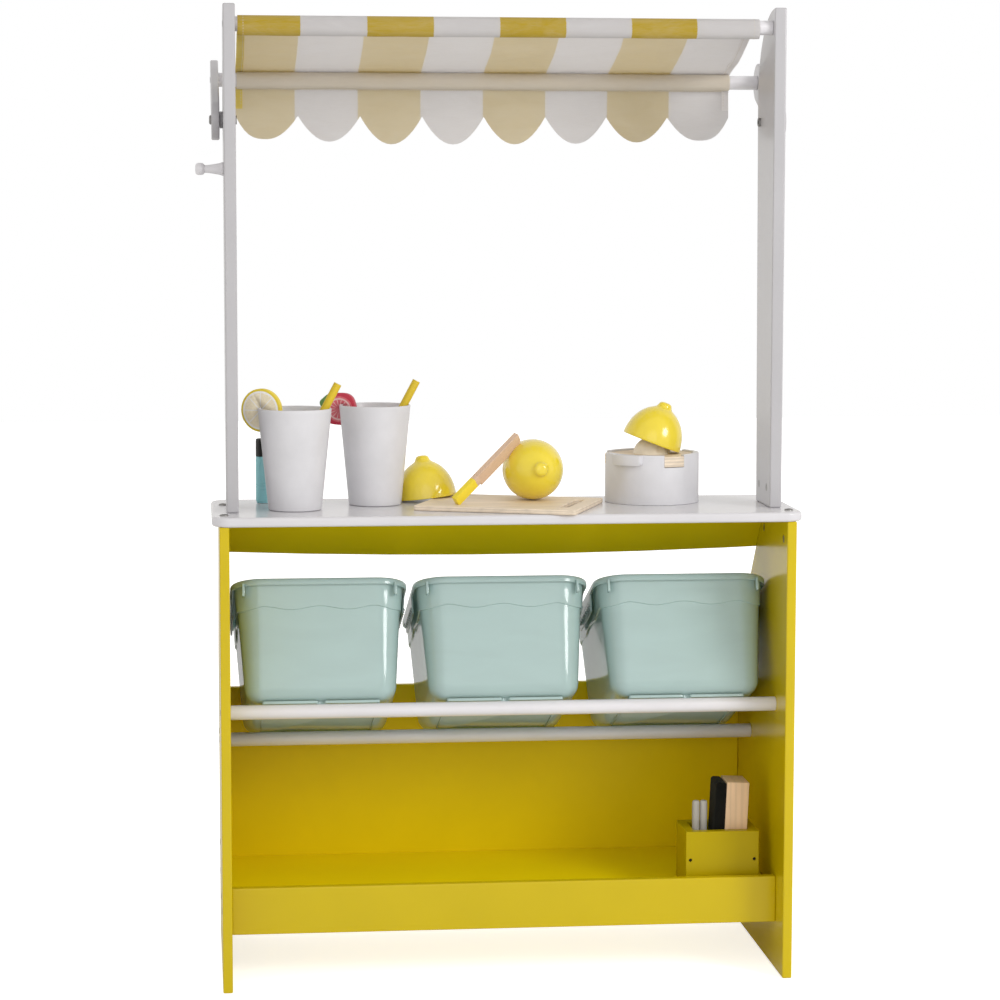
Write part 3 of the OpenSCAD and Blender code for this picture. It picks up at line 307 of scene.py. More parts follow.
def eased_copy(node, name, ease, smallest=0.025, flat=None):
    """CAD node's copy with rounded edges; bores up to smallest keep their rim, faces over flat stay flat."""
    bm = merged_copy(node)
    bmesh.ops.dissolve_limit(bm, angle_limit=math.radians(0.6), verts=bm.verts[:], edges=bm.edges[:])
    corner = math.radians(32)
    sharp = [e for e in bm.edges if len(e.link_faces) == 2 and e.calc_face_angle(0) > corner]
    chosen = []
    for group in edge_groups(sharp):
        points = [v.co for e in group for v in e.verts]
        spread = Vector(max(p[i] for p in points) - min(p[i] for p in points) for i in range(3))
        if spread.length > smallest:
            chosen += group
    if ease > 0:
        rounding = {"segments": 3, "profile": 0.5, "affect": "EDGES", "clamp_overlap": True}
        bmesh.ops.bevel(bm, geom=chosen, offset=ease, **rounding)
    mesh = bpy.data.meshes.new(name)
    bm.to_mesh(mesh)
    bm.free()
    piece = finish_mesh(name, mesh, 30, outward=False)
    if flat:
        for face in piece.data.polygons:
            face.use_smooth = face.area < flat
    return piece


def settle(obj, body, material, slot, *nodes):
    """Give a finished piece its finish and let it ride on its CAD body in place of CAD nodes."""
    obj.data.materials.clear()
    obj.data.materials.append(material)
    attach(obj, body)
    if nodes:
        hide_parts(*nodes)
    return obj


def rounded_ring(half_w, half_d, radius, corner, side):
    """Outline of a rounded rectangle: each point with its outward way, side number and share of the side."""
    ring = []
    frames = [((0, -1), (1, 0)), ((1, 0), (0, 1)), ((0, 1), (-1, 0)), ((-1, 0), (0, -1))]
    for k, (out, run) in enumerate(frames):
        across = half_d if k % 2 == 0 else half_w
        along = (half_w if k % 2 == 0 else half_d) - radius
        out, run = Vector(out), Vector(run)
        for i in range(side):
            t = -1 + 2 * i / side
            ring.append((out * across + run * along * t, out, k, t))
        for i in range(corner):
            a = math.pi / 2 * i / corner
            way = out * math.cos(a) + run * math.sin(a)
            ring.append((out * (across - radius) + run * along + way * radius, way, k + 0.5, i / corner))
    return ring


def spline(points, steps):
    """Smooth curve through the points, as a list of vectors."""
    pts = [Vector(p) for p in points]
    pts = [2 * pts[0] - pts[1], *pts, 2 * pts[-1] - pts[-2]]
    out = []
    for i in range(1, len(pts) - 2):
        a, b, c, d = pts[i - 1 : i + 3]
        bend, twist = 2 * a - 5 * b + 4 * c - d, 3 * b - a - 3 * c + d
        for k in range(steps):
            t = k / steps
            out.append(0.5 * (2 * b + (c - a) * t + bend * t**2 + twist * t**3))
    out.append(pts[-2])
    return out


# Node trees: materials read the piece's Object coordinates or its own attributes


class Tree:
    """A node tree under construction."""

    def __init__(self, tree):
        self.tree = tree

    def put(self, socket, value):
        """Link another node's output to a socket, or set the socket's value."""
        if isinstance(value, bpy.types.NodeSocket):
            self.tree.links.new(value, socket)
        elif hasattr(value, "__len__") and len(value) == 3 and socket.type == "RGBA":
            socket.default_value = (*value, 1)
        else:
            socket.default_value = value

    def node(self, kind, out=0, settings=None, **inputs):
        """New node; inputs go by name, or by number as _0. Returns one of its outputs."""
        made = self.tree.nodes.new(kind if "Node" in kind else "ShaderNode" + kind)
        for key, value in (settings or {}).items():
            setattr(made, key, value)
        for key, value in inputs.items():
            self.put(made.inputs[int(key[1:]) if key[0] == "_" else key.replace("_", " ")], value)
        return made.outputs[out]

    def end(self, node, socket, value):
        self.put(self.tree.nodes[node].inputs[socket], value)

    def maths(self, operation, a, b=0.0, c=0.0):
        return self.node("Math", 0, {"operation": operation}, _0=a, _1=b, _2=c)

    def product(self, *values):
        """All values multiplied, from the left."""
        total = values[0]
        for value in values[1:]:
            total = self.maths("MULTIPLY", total, value)
        return total

    def span(self, value, low, high, to_low=0.0, to_high=1.0):
        """Value carried from the span low to high onto another, and held at its ends."""
        ends = {"From_Min": low, "From_Max": high, "To_Min": to_low, "To_Max": to_high}
        return self.node("MapRange", Value=value, **ends)

    def split(self, vector):
        return self.node("SeparateXYZ", Vector=vector).node.outputs


class Finish(Tree):
    """A Principled material under construction."""

    def __init__(self, name):
        self.material = bpy.data.materials.new(name)
        self.material.use_nodes = True
        super().__init__(self.material.node_tree)
        self.shader = self.tree.nodes["Principled BSDF"]

    def object_space(self, stretch=None):
        coord = self.node("TexCoord", "Object")
        return self.node("Mapping", Vector=coord, Scale=stretch) if stretch else coord

    def attribute(self, name, out="Fac"):
        return self.node("Attribute", out, {"attribute_name": name})

    def noise(self, vector, scale, detail=3.0, roughness=0.55, distortion=0.0):
        looks = {"Detail": detail, "Roughness": roughness, "Distortion": distortion}
        return self.node("TexNoise", Vector=vector, Scale=scale, **looks)

    def blend(self, factor, a, b):
        return self.node("Mix", 2, {"data_type": "RGBA"}, _0=factor, _6=a, _7=b)

    def mottle(self, field, low, high, colour, dark, pale):
        """Colour that a field takes from a darker shade to a paler one."""
        return self.blend(self.span(field, low, high), shade(colour, dark), shade(colour, pale))

    def distance(self, x, z):
        return self.maths("SQRT", self.maths("ADD", self.product(x, x), self.product(z, z)))

    def bump(self, height, strength, distance, **under):
        return self.node("Bump", Height=height, Strength=strength, Distance=distance, **under)

    def set(self, **inputs):
        for key, value in inputs.items():
            self.put(self.shader.inputs[key.replace("_", " ")], value)

    def let_through(self, share, **inputs):
        """Let a share of the light come through the surface."""
        through = self.node("BsdfTranslucent", **inputs)
        mixed = self.node("MixShader", Fac=share, _1=self.shader.outputs[0], _2=through)
        self.end("Material Output", "Surface", mixed)


def shade(colour, factor):
    """Darker or paler colour, held at white."""
    return tuple(min(1.0, c * factor) for c in colour)


def lacquer(name, colour, roughness, stretch, coat=0.3, sheen=0.5):
    """Sprayed lacquer on fine board: faint clouds, faint grain under it and a fine orange peel."""
    f = Finish(name)
    space = f.object_space()
    cloud = f.noise(space, 7.0, 4.0)
    grain = f.noise(f.object_space(stretch), 9.0, 6.0, 0.6, 0.4)
    peel = f.noise(space, 520.0, 2.0)
    tint = f.mottle(cloud, 0.3, 0.7, colour, 0.965, 1.03)
    tint = f.blend(f.span(grain, 0.62, 0.8, 0.0, 0.03), tint, shade(colour, 0.8))
    f.set(
        Base_Color=tint,
        Roughness=f.span(cloud, 0.2, 0.8, roughness * 0.94, roughness * 1.08),
        Specular_IOR_Level=sheen,
        Coat_Weight=coat,
        Coat_Roughness=0.1,
        Normal=f.bump(peel, 0.004, 0.0006),
    )
    return f.material


def bare_wood(name, colour, stretch, plies=0.0, turn_z=0.0):
    """Sanded wood with grain along the least stretched axis; plies is the pitch of plywood layers up Z."""
    f = Finish(name)
    place = f.object_space()
    space = f.node("Mapping", Vector=place, Rotation=(0, 0, turn_z), Scale=stretch)
    wide = f.noise(space, 2.2, 5.0, 0.55, 0.8)
    fine = f.noise(space, 14.0, 6.0, 0.7, 0.2)
    rings = f.node("TexWave", Vector=space, Scale=1.1, Distortion=5.0, Detail=3.0, Detail_Scale=1.4)
    tint = f.mottle(wide, 0.3, 0.72, colour, 0.9, 1.08)
    tint = f.blend(f.span(rings, 0.55, 1.0, 0.0, 0.3), tint, shade(colour, 0.72))
    tint = f.blend(f.span(fine, 0.56, 0.76, 0.0, 0.38), tint, shade(colour, 0.6))
    if plies:
        layer = f.maths("PINGPONG", f.split(place)[2], plies)
        edge = f.maths("ABSOLUTE", f.split(f.node("NewGeometry", "Normal"))[2])
        dark = f.product(f.span(layer, plies * 0.35, plies * 0.65), f.span(edge, 0.35, 0.1), 0.35)
        tint = f.blend(dark, tint, shade(colour, 0.5))
    height = f.maths("ADD", f.product(fine, 0.7), f.product(wide, 0.3))
    f.set(
        Base_Color=tint,
        Roughness=f.span(fine, 0.3, 0.8, 0.46, 0.66),
        Specular_IOR_Level=0.35,
        Normal=f.bump(height, 0.18, 0.0005),
    )
    return f.material


def painted_wood(name, colour, roughness, second=None, edge=0.0, along=0, coat=0.15):
    """Satin paint on turned wood; beyond edge, along an axis of the piece, is wood of the second colour."""
    f = Finish(name)
    space = f.object_space()
    cloud = f.noise(space, 26.0, 4.0)
    brush = f.noise(f.object_space((60, 60, 9)), 12.0, 4.0, 0.6)
    peel = f.noise(space, 700.0, 2.0)
    tint = f.mottle(cloud, 0.28, 0.72, colour, 0.94, 1.04)
    rough = f.span(cloud, 0.25, 0.75, roughness * 0.85, roughness * 1.25)
    if second:
        local = f.attribute("local", "Vector")
        ragged = f.maths("MULTIPLY_ADD", f.noise(space, 420.0, 2.0), 0.9, f.split(local)[along])
        grain = f.noise(f.node("Mapping", Vector=local, Scale=(0.012, 0.32, 0.32)), 6.0, 6.0, 0.65, 0.5)
        fine = f.noise(f.node("Mapping", Vector=local, Scale=(0.02, 0.9, 0.9)), 5.0, 4.0, 0.7)
        wood = f.mottle(grain, 0.32, 0.7, second, 0.78, 1.06)
        wood = f.blend(f.span(fine, 0.58, 0.72, 0.0, 0.45), wood, shade(second, 0.55))
        beyond = f.span(ragged, edge, edge + 0.4)
        tint = f.blend(beyond, tint, wood)
        rough = f.node("Mix", Factor=beyond, _2=rough, _3=0.58)
    height = f.maths("ADD", f.product(brush, 0.3), f.product(peel, 0.3))
    f.set(
        Base_Color=tint,
        Roughness=rough,
        Coat_Weight=coat,
        Coat_Roughness=0.08,
        Normal=f.bump(height, 0.005, 0.0005),
    )
    return f.material


def plastic(name, colour, roughness, glow=0.0):
    """Moulded plastic with faint flow marks; glow is the share of light that comes through."""
    f = Finish(name)
    flow = f.noise(f.object_space((3, 3, 9)), 4.0, 3.0, 0.5, 0.6)
    peel = f.noise(f.object_space(), 260.0, 2.0)
    tint = f.mottle(flow, 0.3, 0.7, colour, 0.975, 1.02)
    f.set(
        Base_Color=tint,
        Roughness=f.span(flow, 0.25, 0.75, roughness * 0.85, roughness * 1.2),
        IOR=1.49,
        Coat_Weight=glow * 2,
        Normal=f.bump(peel, 0.02, 0.0006),
    )
    if glow:
        f.let_through(glow, Color=tint)
    return f.material


def plated_steel(name, colour):
    """Zinc-plated fastener with fine turning marks and dull spots."""
    f = Finish(name)
    spots = f.noise(f.object_space(), 240.0, 4.0)
    marks = f.noise(f.object_space((300, 300, 1800)), 3.0, 3.0)
    f.set(
        Base_Color=f.mottle(spots, 0.35, 0.7, colour, 0.82, 1.1),
        Metallic=1.0,
        Roughness=f.span(spots, 0.3, 0.7, 0.28, 0.5),
        Normal=f.bump(marks, 0.1, 0.0002),
    )
    return f.material


def canvas(name, cloth, inside_shade=1.0):
    """Printed cotton by kind: 0 printed outside, 1 paler inside, 2 plain sleeve, 3 hem; local X is across.
    The last argument darkens the inside's colours as painted shade, and the hem's yellow is painted light.
    """
    f = Finish(name)
    flat, kind = f.attribute("local", "Vector"), f.attribute("kind")
    ragged = f.noise(f.object_space(), 900.0, 2.0)
    across = f.maths("ADD", f.split(flat)[0], f.span(ragged, 0.3, 0.7, -0.35, 0.35))
    number = f.maths("FLOORED_MODULO", f.maths("DIVIDE", across, CLOTH_STRIPE), 2.0)
    stripe = f.maths("GREATER_THAN", number, 1.0)
    outside = f.blend(stripe, tuple(cloth.yellow), tuple(cloth.white))
    # Painted shade: the inside colours are darkened by the last argument.
    inside = f.blend(stripe, shade(cloth.yellow_back, inside_shade), shade(cloth.white_back, inside_shade))
    tint = f.blend(f.span(kind, 0.4, 0.6), outside, inside)
    tint = f.blend(f.span(kind, 1.4, 1.6), tint, tuple(cloth.lining))
    # Painted light: the folded hem strips take a paler yellow than the printed stripes.
    fold = f.blend(stripe, srgb(238, 222, 116), tuple(cloth.white_back))
    tint = f.blend(f.span(kind, 2.4, 2.6), tint, fold)
    threads = {"Vector": flat, "Scale": 0.42, "Distortion": 0.6}
    weave = f.maths("ADD", *[f.node("TexWave", 0, {"bands_direction": way}, **threads) for way in "XY"])
    slub = f.noise(f.object_space((30, 260, 260)), 3.0, 4.0, 0.6)
    crease = f.noise(f.object_space((3, 9, 9)), 5.0, 5.0, 0.6, 1.2)
    tint = f.blend(f.span(slub, 0.35, 0.75, 0.0, 0.14), tint, shade(cloth.lining, 0.8))
    tint = f.blend(f.span(crease, 0.35, 0.7, 0.0, 0.12), tint, (1.0, 1.0, 1.0))
    normal = f.bump(weave, 0.16, 0.0004, Normal=f.bump(crease, 0.14, 0.004))
    f.set(
        Base_Color=tint,
        Roughness=0.86,
        Specular_IOR_Level=0.2,
        Sheen_Weight=0.15,
        Sheen_Roughness=0.5,
        Normal=normal,
    )
    f.let_through(0.48, Color=tint, Normal=normal)
    return f.material


def matte(name, colour, scale, strength, spread=0.12, roughness=0.95, sheen=0.0):
    """Dry, dusty or fibrous surface."""
    f = Finish(name)
    space = f.object_space()
    grit = f.noise(space, scale, 6.0, 0.7)
    cloud = f.noise(space, scale * 0.08, 3.0)
    tint = f.mottle(cloud, 0.3, 0.7, colour, 1 - spread, 1 + spread)
    tint = f.blend(f.span(grit, 0.5, 0.8, 0.0, 0.5), tint, shade(colour, 1.25))
    f.set(
        Base_Color=tint,
        Roughness=roughness,
        Specular_IOR_Level=0.15,
        Sheen_Weight=sheen,
        Normal=f.bump(grit, strength, 0.001),
    )
    return f.material


def sliced_fruit(name, rind, pith, flesh, wedges, seed_colour):
    """Printed cut face: rind, pith and wedges round the middle; local X and Z lie in the face."""
    f = Finish(name)
    local = f.split(f.attribute("local", "Vector"))
    x, z = local[0], local[2]
    radius = f.distance(x, z)
    wave = f.maths("ABSOLUTE", f.maths("SINE", f.product(f.maths("ARCTAN2", z, x), wedges / 2)))
    spoke = f.span(f.product(wave, radius), 1.6, 2.6)
    mottled = f.noise(f.object_space(), 420.0, 4.0)
    pulp = f.mottle(mottled, 0.3, 0.7, flesh, 0.9, 1.05)
    inner = f.product(spoke, f.span(radius, 21.9, 21.4), f.span(radius, 2.0, 2.6))
    tint = f.blend(inner, pith, pulp)
    tint = f.blend(f.span(radius, 23.8, 24.4), tint, rind)
    tint = f.blend(f.product(f.span(radius, 1.5, 1.2), 0.9), tint, seed_colour)
    face = f.span(f.maths("ABSOLUTE", local[1]), 3.0, 3.4)
    tint = f.blend(face, rind, tint)
    f.set(Base_Color=tint, Roughness=0.4, Coat_Weight=0.1, Normal=f.bump(mottled, 0.05, 0.0005))
    return f.material


def berry_print(name, red):
    """Printed berry: pink heart with pale rays and a pale ring, and green leaves at the left end."""
    f = Finish(name)
    local = f.split(f.attribute("local", "Vector"))
    x, z = local[0], local[2]
    wide, high, aside, below = 22, 19.5, 3.5, 2.9
    cx = f.maths("MULTIPLY_ADD", x, 1 / wide, aside / wide)
    cz = f.maths("MULTIPLY_ADD", z, 1 / high, below / high)
    radius = f.distance(cx, cz)
    rays = f.maths("ABSOLUTE", f.maths("SINE", f.product(f.maths("ARCTAN2", cz, cx), 7.0)))
    mottled = f.noise(f.object_space(), 300.0, 3.0)
    pink = f.blend(f.span(mottled, 0.3, 0.7), srgb(214, 92, 104), srgb(226, 120, 128))
    ray = f.product(f.span(rays, 0.4, 0.15), f.span(radius, 0.66, 0.58), f.span(radius, 0.2, 0.28))
    ring = f.product(f.span(radius, 0.6, 0.64), f.span(radius, 0.74, 0.7))
    pale = f.product(f.maths("MAXIMUM", ray, ring), 0.75)
    tint = f.blend(pale, pink, srgb(240, 214, 208))
    tint = f.blend(f.span(radius, 0.8, 0.86), tint, red)
    leaf = f.span(f.maths("MULTIPLY_ADD", z, -0.55, x), -19.5, -20.5)
    tint = f.blend(leaf, tint, srgb(92, 138, 70))
    face = f.span(f.maths("ABSOLUTE", local[1]), 3.0, 3.4)
    tint = f.blend(face, shade(red, 0.9), tint)
    paper = f.bump(f.noise(f.object_space(), 400.0), 0.05, 0.0005)
    f.set(Base_Color=tint, Roughness=0.38, Coat_Weight=0.15, Normal=paper)
    return f.material


# Geometry Nodes: one repeat laid along a line, one repeat laid on marked points


def node_group(name, sockets):
    """New Geometry Nodes tree with named inputs, and the outputs of its input node."""
    group = bpy.data.node_groups.new(name, "GeometryNodeTree")
    group.interface.new_socket("Geometry", in_out="OUTPUT", socket_type="NodeSocketGeometry")
    for label, kind in {"Geometry": "Geometry", "Piece": "Object", "Finish": "Material", **sockets}.items():
        group.interface.new_socket(label, in_out="INPUT", socket_type="NodeSocket" + kind)
    return Tree(group), group.nodes.new("NodeGroupInput").outputs


def set_on_points(tree, start, points, rotation):
    """End of a tree: its piece on the points, as real faces with their finish."""
    piece = tree.node("GeometryNodeObjectInfo", "Geometry", Object=start["Piece"])
    place = tree.node("GeometryNodeInstanceOnPoints", Points=points, Instance=piece, Rotation=rotation)
    solid = tree.node("GeometryNodeRealizeInstances", _0=place)
    finish = tree.node("GeometryNodeSetMaterial", Geometry=solid, Material=start["Finish"])
    tree.put(tree.tree.nodes.new("NodeGroupOutput").inputs["Geometry"], finish)
    return tree.tree


def along_line_group():
    """Instances at an even pitch along a curve, turned along it, with a small random turn."""
    sockets = {"Pitch": "Float", "Wander": "Float", "Seed": "Int"}
    tree, start = node_group("Stitch line", sockets)
    curve = {"Curve": start["Geometry"], "Length": start["Pitch"]}
    points = tree.node("GeometryNodeCurveToPoints", "Points", {"mode": "LENGTH"}, **curve)
    tangent = points.node.outputs["Tangent"]
    facing = tree.node("FunctionNodeAlignRotationToVector", 0, {"axis": "X"}, Vector=tangent)
    least, most = tree.maths("MULTIPLY", start["Wander"], -1.0), start["Wander"]
    ends = {"_2": least, "_3": most, "Seed": start["Seed"]}
    wander = tree.node("FunctionNodeRandomValue", 1, {"data_type": "FLOAT"}, **ends)
    twist = tree.node("CombineXYZ", Z=wander)
    local = {"rotation_space": "LOCAL"}
    spin = tree.node("FunctionNodeRotateRotation", 0, local, Rotation=facing, Rotate_By=twist)
    return set_on_points(tree, start, points, spin)


def on_points_group():
    """Instances on a mesh's points, turned by the points' own way."""
    tree, start = node_group("Fitted pieces", {})
    way = tree.node("GeometryNodeInputNamedAttribute", 0, {"data_type": "FLOAT_VECTOR"}, Name="facing")
    align = tree.node("FunctionNodeAlignRotationToVector", 0, {"axis": "Z"}, Vector=way)
    return set_on_points(tree, start, start["Geometry"], align)


def grown(name, source, group, settings):
    """Plain mesh object grown from source by a node group; source and the pattern piece are removed."""
    modifier = source.modifiers.new("Repeat", "NODES")
    modifier.node_group = group
    for item in group.interface.items_tree:
        if item.item_type == "SOCKET" and item.in_out == "INPUT" and item.name in settings:
            modifier[item.identifier] = settings[item.name]
    source.update_tag()
    bpy.context.view_layer.update()
    depsgraph = bpy.context.evaluated_depsgraph_get()
    mesh = bpy.data.meshes.new_from_object(source.evaluated_get(depsgraph))
    source.modifiers.clear()
    bpy.data.objects.remove(source)
    bpy.data.objects.remove(settings["Piece"])
    if not len(mesh.polygons):
        raise RuntimeError(f"{name} grew no faces")
    mesh.name = name
    return linked(name, mesh)


def sew(name, lines, pattern, material, pitch, seed):
    """Pieces along lines, each a list of points in the part's frame."""
    curve = bpy.data.curves.new(name, "CURVE")
    curve.dimensions = "3D"
    for line in lines:
        run = curve.splines.new("POLY")
        run.points.add(len(line) - 1)
        for point, place in zip(run.points, line):
            point.co = (*place, 1)
    source = linked(name + "_line", curve)
    settings = {"Pitch": pitch, "Piece": pattern, "Finish": material, "Wander": STITCH_WANDER, "Seed": seed}
    return grown(name, source, along_line_group(), settings)


def fit(name, places, pattern, material):
    """Pieces at places, each a point and the way its Z faces, in the part's frame."""
    mesh = bpy.data.meshes.new(name + "_points")
    mesh.from_pydata([p for p, _ in places], [], [])
    facing = mesh.attributes.new("facing", "FLOAT_VECTOR", "POINT")
    facing.data.foreach_set("vector", [c for _, way in places for c in way])
    source = linked(name + "_points", mesh)
    return grown(name, source, on_points_group(), {"Piece": pattern, "Finish": material})


# Fixed proportions of the pieces, in millimetres and degrees

# Boards: the least area of a flat face, in square metres, and the stretch of each grain
BOARD_FACE = 0.0004
UPRIGHT_GRAIN = (60, 60, 4)
LEVEL_GRAIN = (4, 60, 60)
PLY_GRAIN = (4, 46, 46)

# Fasteners: the apron's slant, and heads as a radius, a height and the depth of the recess
APRON_RUN = 203.0
APRON_RISE = 175.0
SCREW_HEAD = (4.3, 0.5, 0.4)
COUNTER_HEAD = (5.6, 1.9, 1.3)
BOLT_HEAD = (6.0, 2.5, 1.8)
HEAD_SUNK = 2.5

# Cloth: the stitches, the stripes, the valance's scallops and the sleeves round the rails
STITCH_L = 2.5
STITCH_WANDER = 0.06
CLOTH_STRIPE = 81.4
CLOTH_START = 5.3
SCALLOPS = 8
SCALLOP_DROP = 45.0
SCALLOP_DEPTHS = (30.0, 33.0, 36.0, 36.0, 35.5, 34.5, 32.5, 30.0)
SLEEVE_R = 9.9
LAP_R = 11.4
SEAM_AT = 25.0
SHEET_SAG = 5.0

# Bins: the grip is its height and its length, and the foot reaches BIN_OVER past the upper rail
BIN_H = 156.0
BIN_LIP = 7.0
BIN_SKIRT = 9.0
BIN_GRIP = (31.0, 120.0)
BIN_WALL = 2.4
BIN_FOOT_D = 236.7
BIN_FOOT_R = 22.0
BIN_OVER = 10.0
BIN_DRAFT = 4.2

# Play food and tools
CUP_BASE_R = 33.2
CUP_WALL = 2.2
STRAW_LEAN = 28.0
STRAW_R = 5.0
STRAW_L = 170.0
SLICE_TURN = 27.0
SLICE_R = 27.0
SLIT_TOP = 0.15 * SLICE_R
TAB_W = 28.0
TAB_ANGLES = (20, 140, 260)


class StallPiece:
    """Shared by the operators: their options and when they can run."""

    bl_options = {"REGISTER", "UNDO"}

    @classmethod
    def poll(cls, context):
        return context.scene is not None


def loose_parts(node):
    """Loose parts of a CAD node, each as its list of points."""
    bm = merged_copy(node)
    parts = [{v for e in group for v in e.verts} for group in edge_groups(bm.edges)]
    points = [[v.co.copy() for v in part] for part in parts]
    bm.free()
    return points


def ends_facing(node, way):
    """Centre of each loose part's end that lies furthest along way."""
    ends = []
    for points in loose_parts(node):
        far = max(p.dot(way) for p in points)
        end = [p for p in points if p.dot(way) > far - 2e-5]
        ends.append(sum(end, Vector()) / len(end))
    return ends


def outer_ends(node):
    """Ends of a node's loose parts that face out of the stall's sides, each with its way."""
    places = []
    for way in (Vector((-1, 0, 0)), Vector((1, 0, 0))):
        places += [(e, way) for e in ends_facing(node, way) if (e.x - MID_X) * way.x > 0]
    return places


class STALL_OT_cabinet(StallPiece, bpy.types.Operator):
    """Lacquered cabinet boards, with eased edges"""

    bl_idname = "stall.cabinet"
    bl_label = "Cabinet boards"

    def execute(self, context):
        boards = context.scene.stall_boards
        yellow, gloss = boards.yellow, boards.gloss
        # Painted shade and light: the side panels and the shelf lip take a darker copy of the yellow (0.76)
        # as painted shade, the shelf a paler copy (1.25) as painted light; the front panel and the apron keep
        # the plain yellow.
        shaded_upright = lacquer("Yellow lacquer", shade(yellow, 0.76), gloss, UPRIGHT_GRAIN, 0.2, 0.3)
        dull = (gloss * 1.5, LEVEL_GRAIN, 0.0, 0.12)
        level = lacquer("Yellow lacquer, level boards", yellow, *dull)
        lit_shelf = lacquer("Yellow lacquer, shelf", shade(yellow, 1.25), *dull)
        grains = {
            "left_side_panel": shaded_upright,
            "right_side_panel": shaded_upright,
            "front_panel": level,
            "front_apron": level,
            "bottom_shelf": lit_shelf,
            "shelf_lip": shaded_upright,
        }
        for node, material in grains.items():
            piece = eased_copy(node, node + "_board", boards.ease, flat=BOARD_FACE)
            settle(piece, "stall", material, "yellow_lacquer", node)
        return {"FINISHED"}


class STALL_OT_counter(StallPiece, bpy.types.Operator):
    """Counter with rounded corners and a rounded edge"""

    bl_idname = "stall.counter"
    bl_label = "Counter"

    def execute(self, context):
        boards = context.scene.stall_boards
        size, centre = size_of("counter_top") / MM, middle("counter_top")
        corner, edge, rings = 22.0, 3.6, []
        outline = rounded_ring(size.x / 2, size.y / 2, corner, 20, 24)
        steps = [(-90 + 15 * k, -1) for k in range(7)] + [(15 * k, 1) for k in range(7)]
        for angle, half in steps:
            a = math.radians(angle)
            inset, height = edge - edge * math.cos(a), half * (size.z / 2 - edge) + edge * math.sin(a)
            rings.append([(p - way * inset).to_3d() + Vector((0, 0, height)) for p, way, _, _ in outline])
        top = Shape().loft(rings).build("counter_board", Matrix.Translation(centre))
        for face in top.data.polygons:
            face.use_smooth = len(face.vertices) == 4
        white = lacquer("White lacquer, counter", boards.white, boards.gloss * 0.8, LEVEL_GRAIN, 0.0, 0.4)
        settle(top, "stall", white, "white_lacquer", "counter_top")
        return {"FINISHED"}


class STALL_OT_uprights(StallPiece, bpy.types.Operator):
    """Posts, rails, spacers, arms and the turned peg"""

    bl_idname = "stall.uprights"
    bl_label = "Posts, rails and arms"

    def execute(self, context):
        boards = context.scene.stall_boards
        gloss = boards.gloss * 1.25
        # Painted shade and light: the posts and arms take a darker copy of the white (0.7) as painted shade;
        # the rails, spacers and peg take a paler copy (1.12) as painted light.
        shaded_upright = lacquer("White lacquer", shade(boards.white, 0.7), gloss, UPRIGHT_GRAIN)
        rail = lacquer("White lacquer, rails", shade(boards.white, 1.12), gloss, LEVEL_GRAIN)
        sawn = {
            "left_post": ("stall", 1.3),
            "right_post": ("stall", 1.3),
            "left_canopy_arm": ("awning", 1.2),
            "right_canopy_arm": ("awning", 1.2),
        }
        for node, (body, share) in sawn.items():
            piece = eased_copy(node, node + "_board", boards.ease * share, flat=BOARD_FACE)
            settle(piece, body, shaded_upright, "white_lacquer", node)
        turned = {
            "upper_bin_rail": "stall",
            "lower_bin_rail": "stall",
            "rear_canopy_rail": "stall",
            "arm_spacers": "stall",
            "front_canopy_rail": "awning",
        }
        for node, body in turned.items():
            piece = eased_copy(node, node + "_turned", boards.ease * 0.5)
            settle(piece, body, rail, "white_lacquer", node)
        self.peg(rail)
        return {"FINISHED"}

    def peg(self, material):
        foot, neck, knob, length = 8.4, 4.7, 7.5, 34.5
        flare = [(foot - 0.6, 0), (foot, 0.6), (foot - 0.1, 1.8), (7.4, 4.2), (6.6, 8.0), (5.7, 13.5)]
        flare += [(5.0, 19), (neck, 22.6)]
        outline = spline([(r, z, 0) for r, z in flare], 4)
        profile = [(neck - 0.2, -9.5), (neck - 0.2, 0)] + [(p.x, p.y) for p in outline]
        profile += [(neck + 0.5, 23.2), (knob - 1.4, 24.0), (knob - 0.3, 25.4), (knob, 27.4), (knob, 30.2)]
        profile += [(knob - 0.5, 32.4), (knob - 1.9, 33.9), (knob - 4.0, length), (1.0, length)]
        centre, root = middle("hanging_peg"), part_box("hanging_peg")[0].x + length * MM
        seat = Matrix.Translation((root, centre.y, centre.z)) @ turn("Y", -90)
        peg = Shape().lathe(profile, 48).build("hanging_peg_turned", seat)
        settle(peg, "stall", material, "white_lacquer", "hanging_peg")


def socket_head(radius, height, recess, depth):
    """Low round head with a six-sided recess, on the XY plane."""
    steps = 36

    def circle(r, z, six=False):
        ring = []
        for k in range(steps):
            a = 2 * math.pi * k / steps
            part = (a % (math.pi / 3)) - math.pi / 6
            s = math.cos(math.pi / 6) / math.cos(part) if six else 1
            ring.append(Vector((r * s * math.cos(a), r * s * math.sin(a), z)))
        return ring

    rings = [circle(radius * 0.5, -height * 0.4), circle(radius, 0), circle(radius * 0.97, height * 0.4)]
    rings += [circle(radius * 0.8, height * 0.85), circle(radius * 0.6, height)]
    rings += [circle(recess, height, True), circle(recess * 0.94, height - depth, True)]
    return Shape().loft(rings)


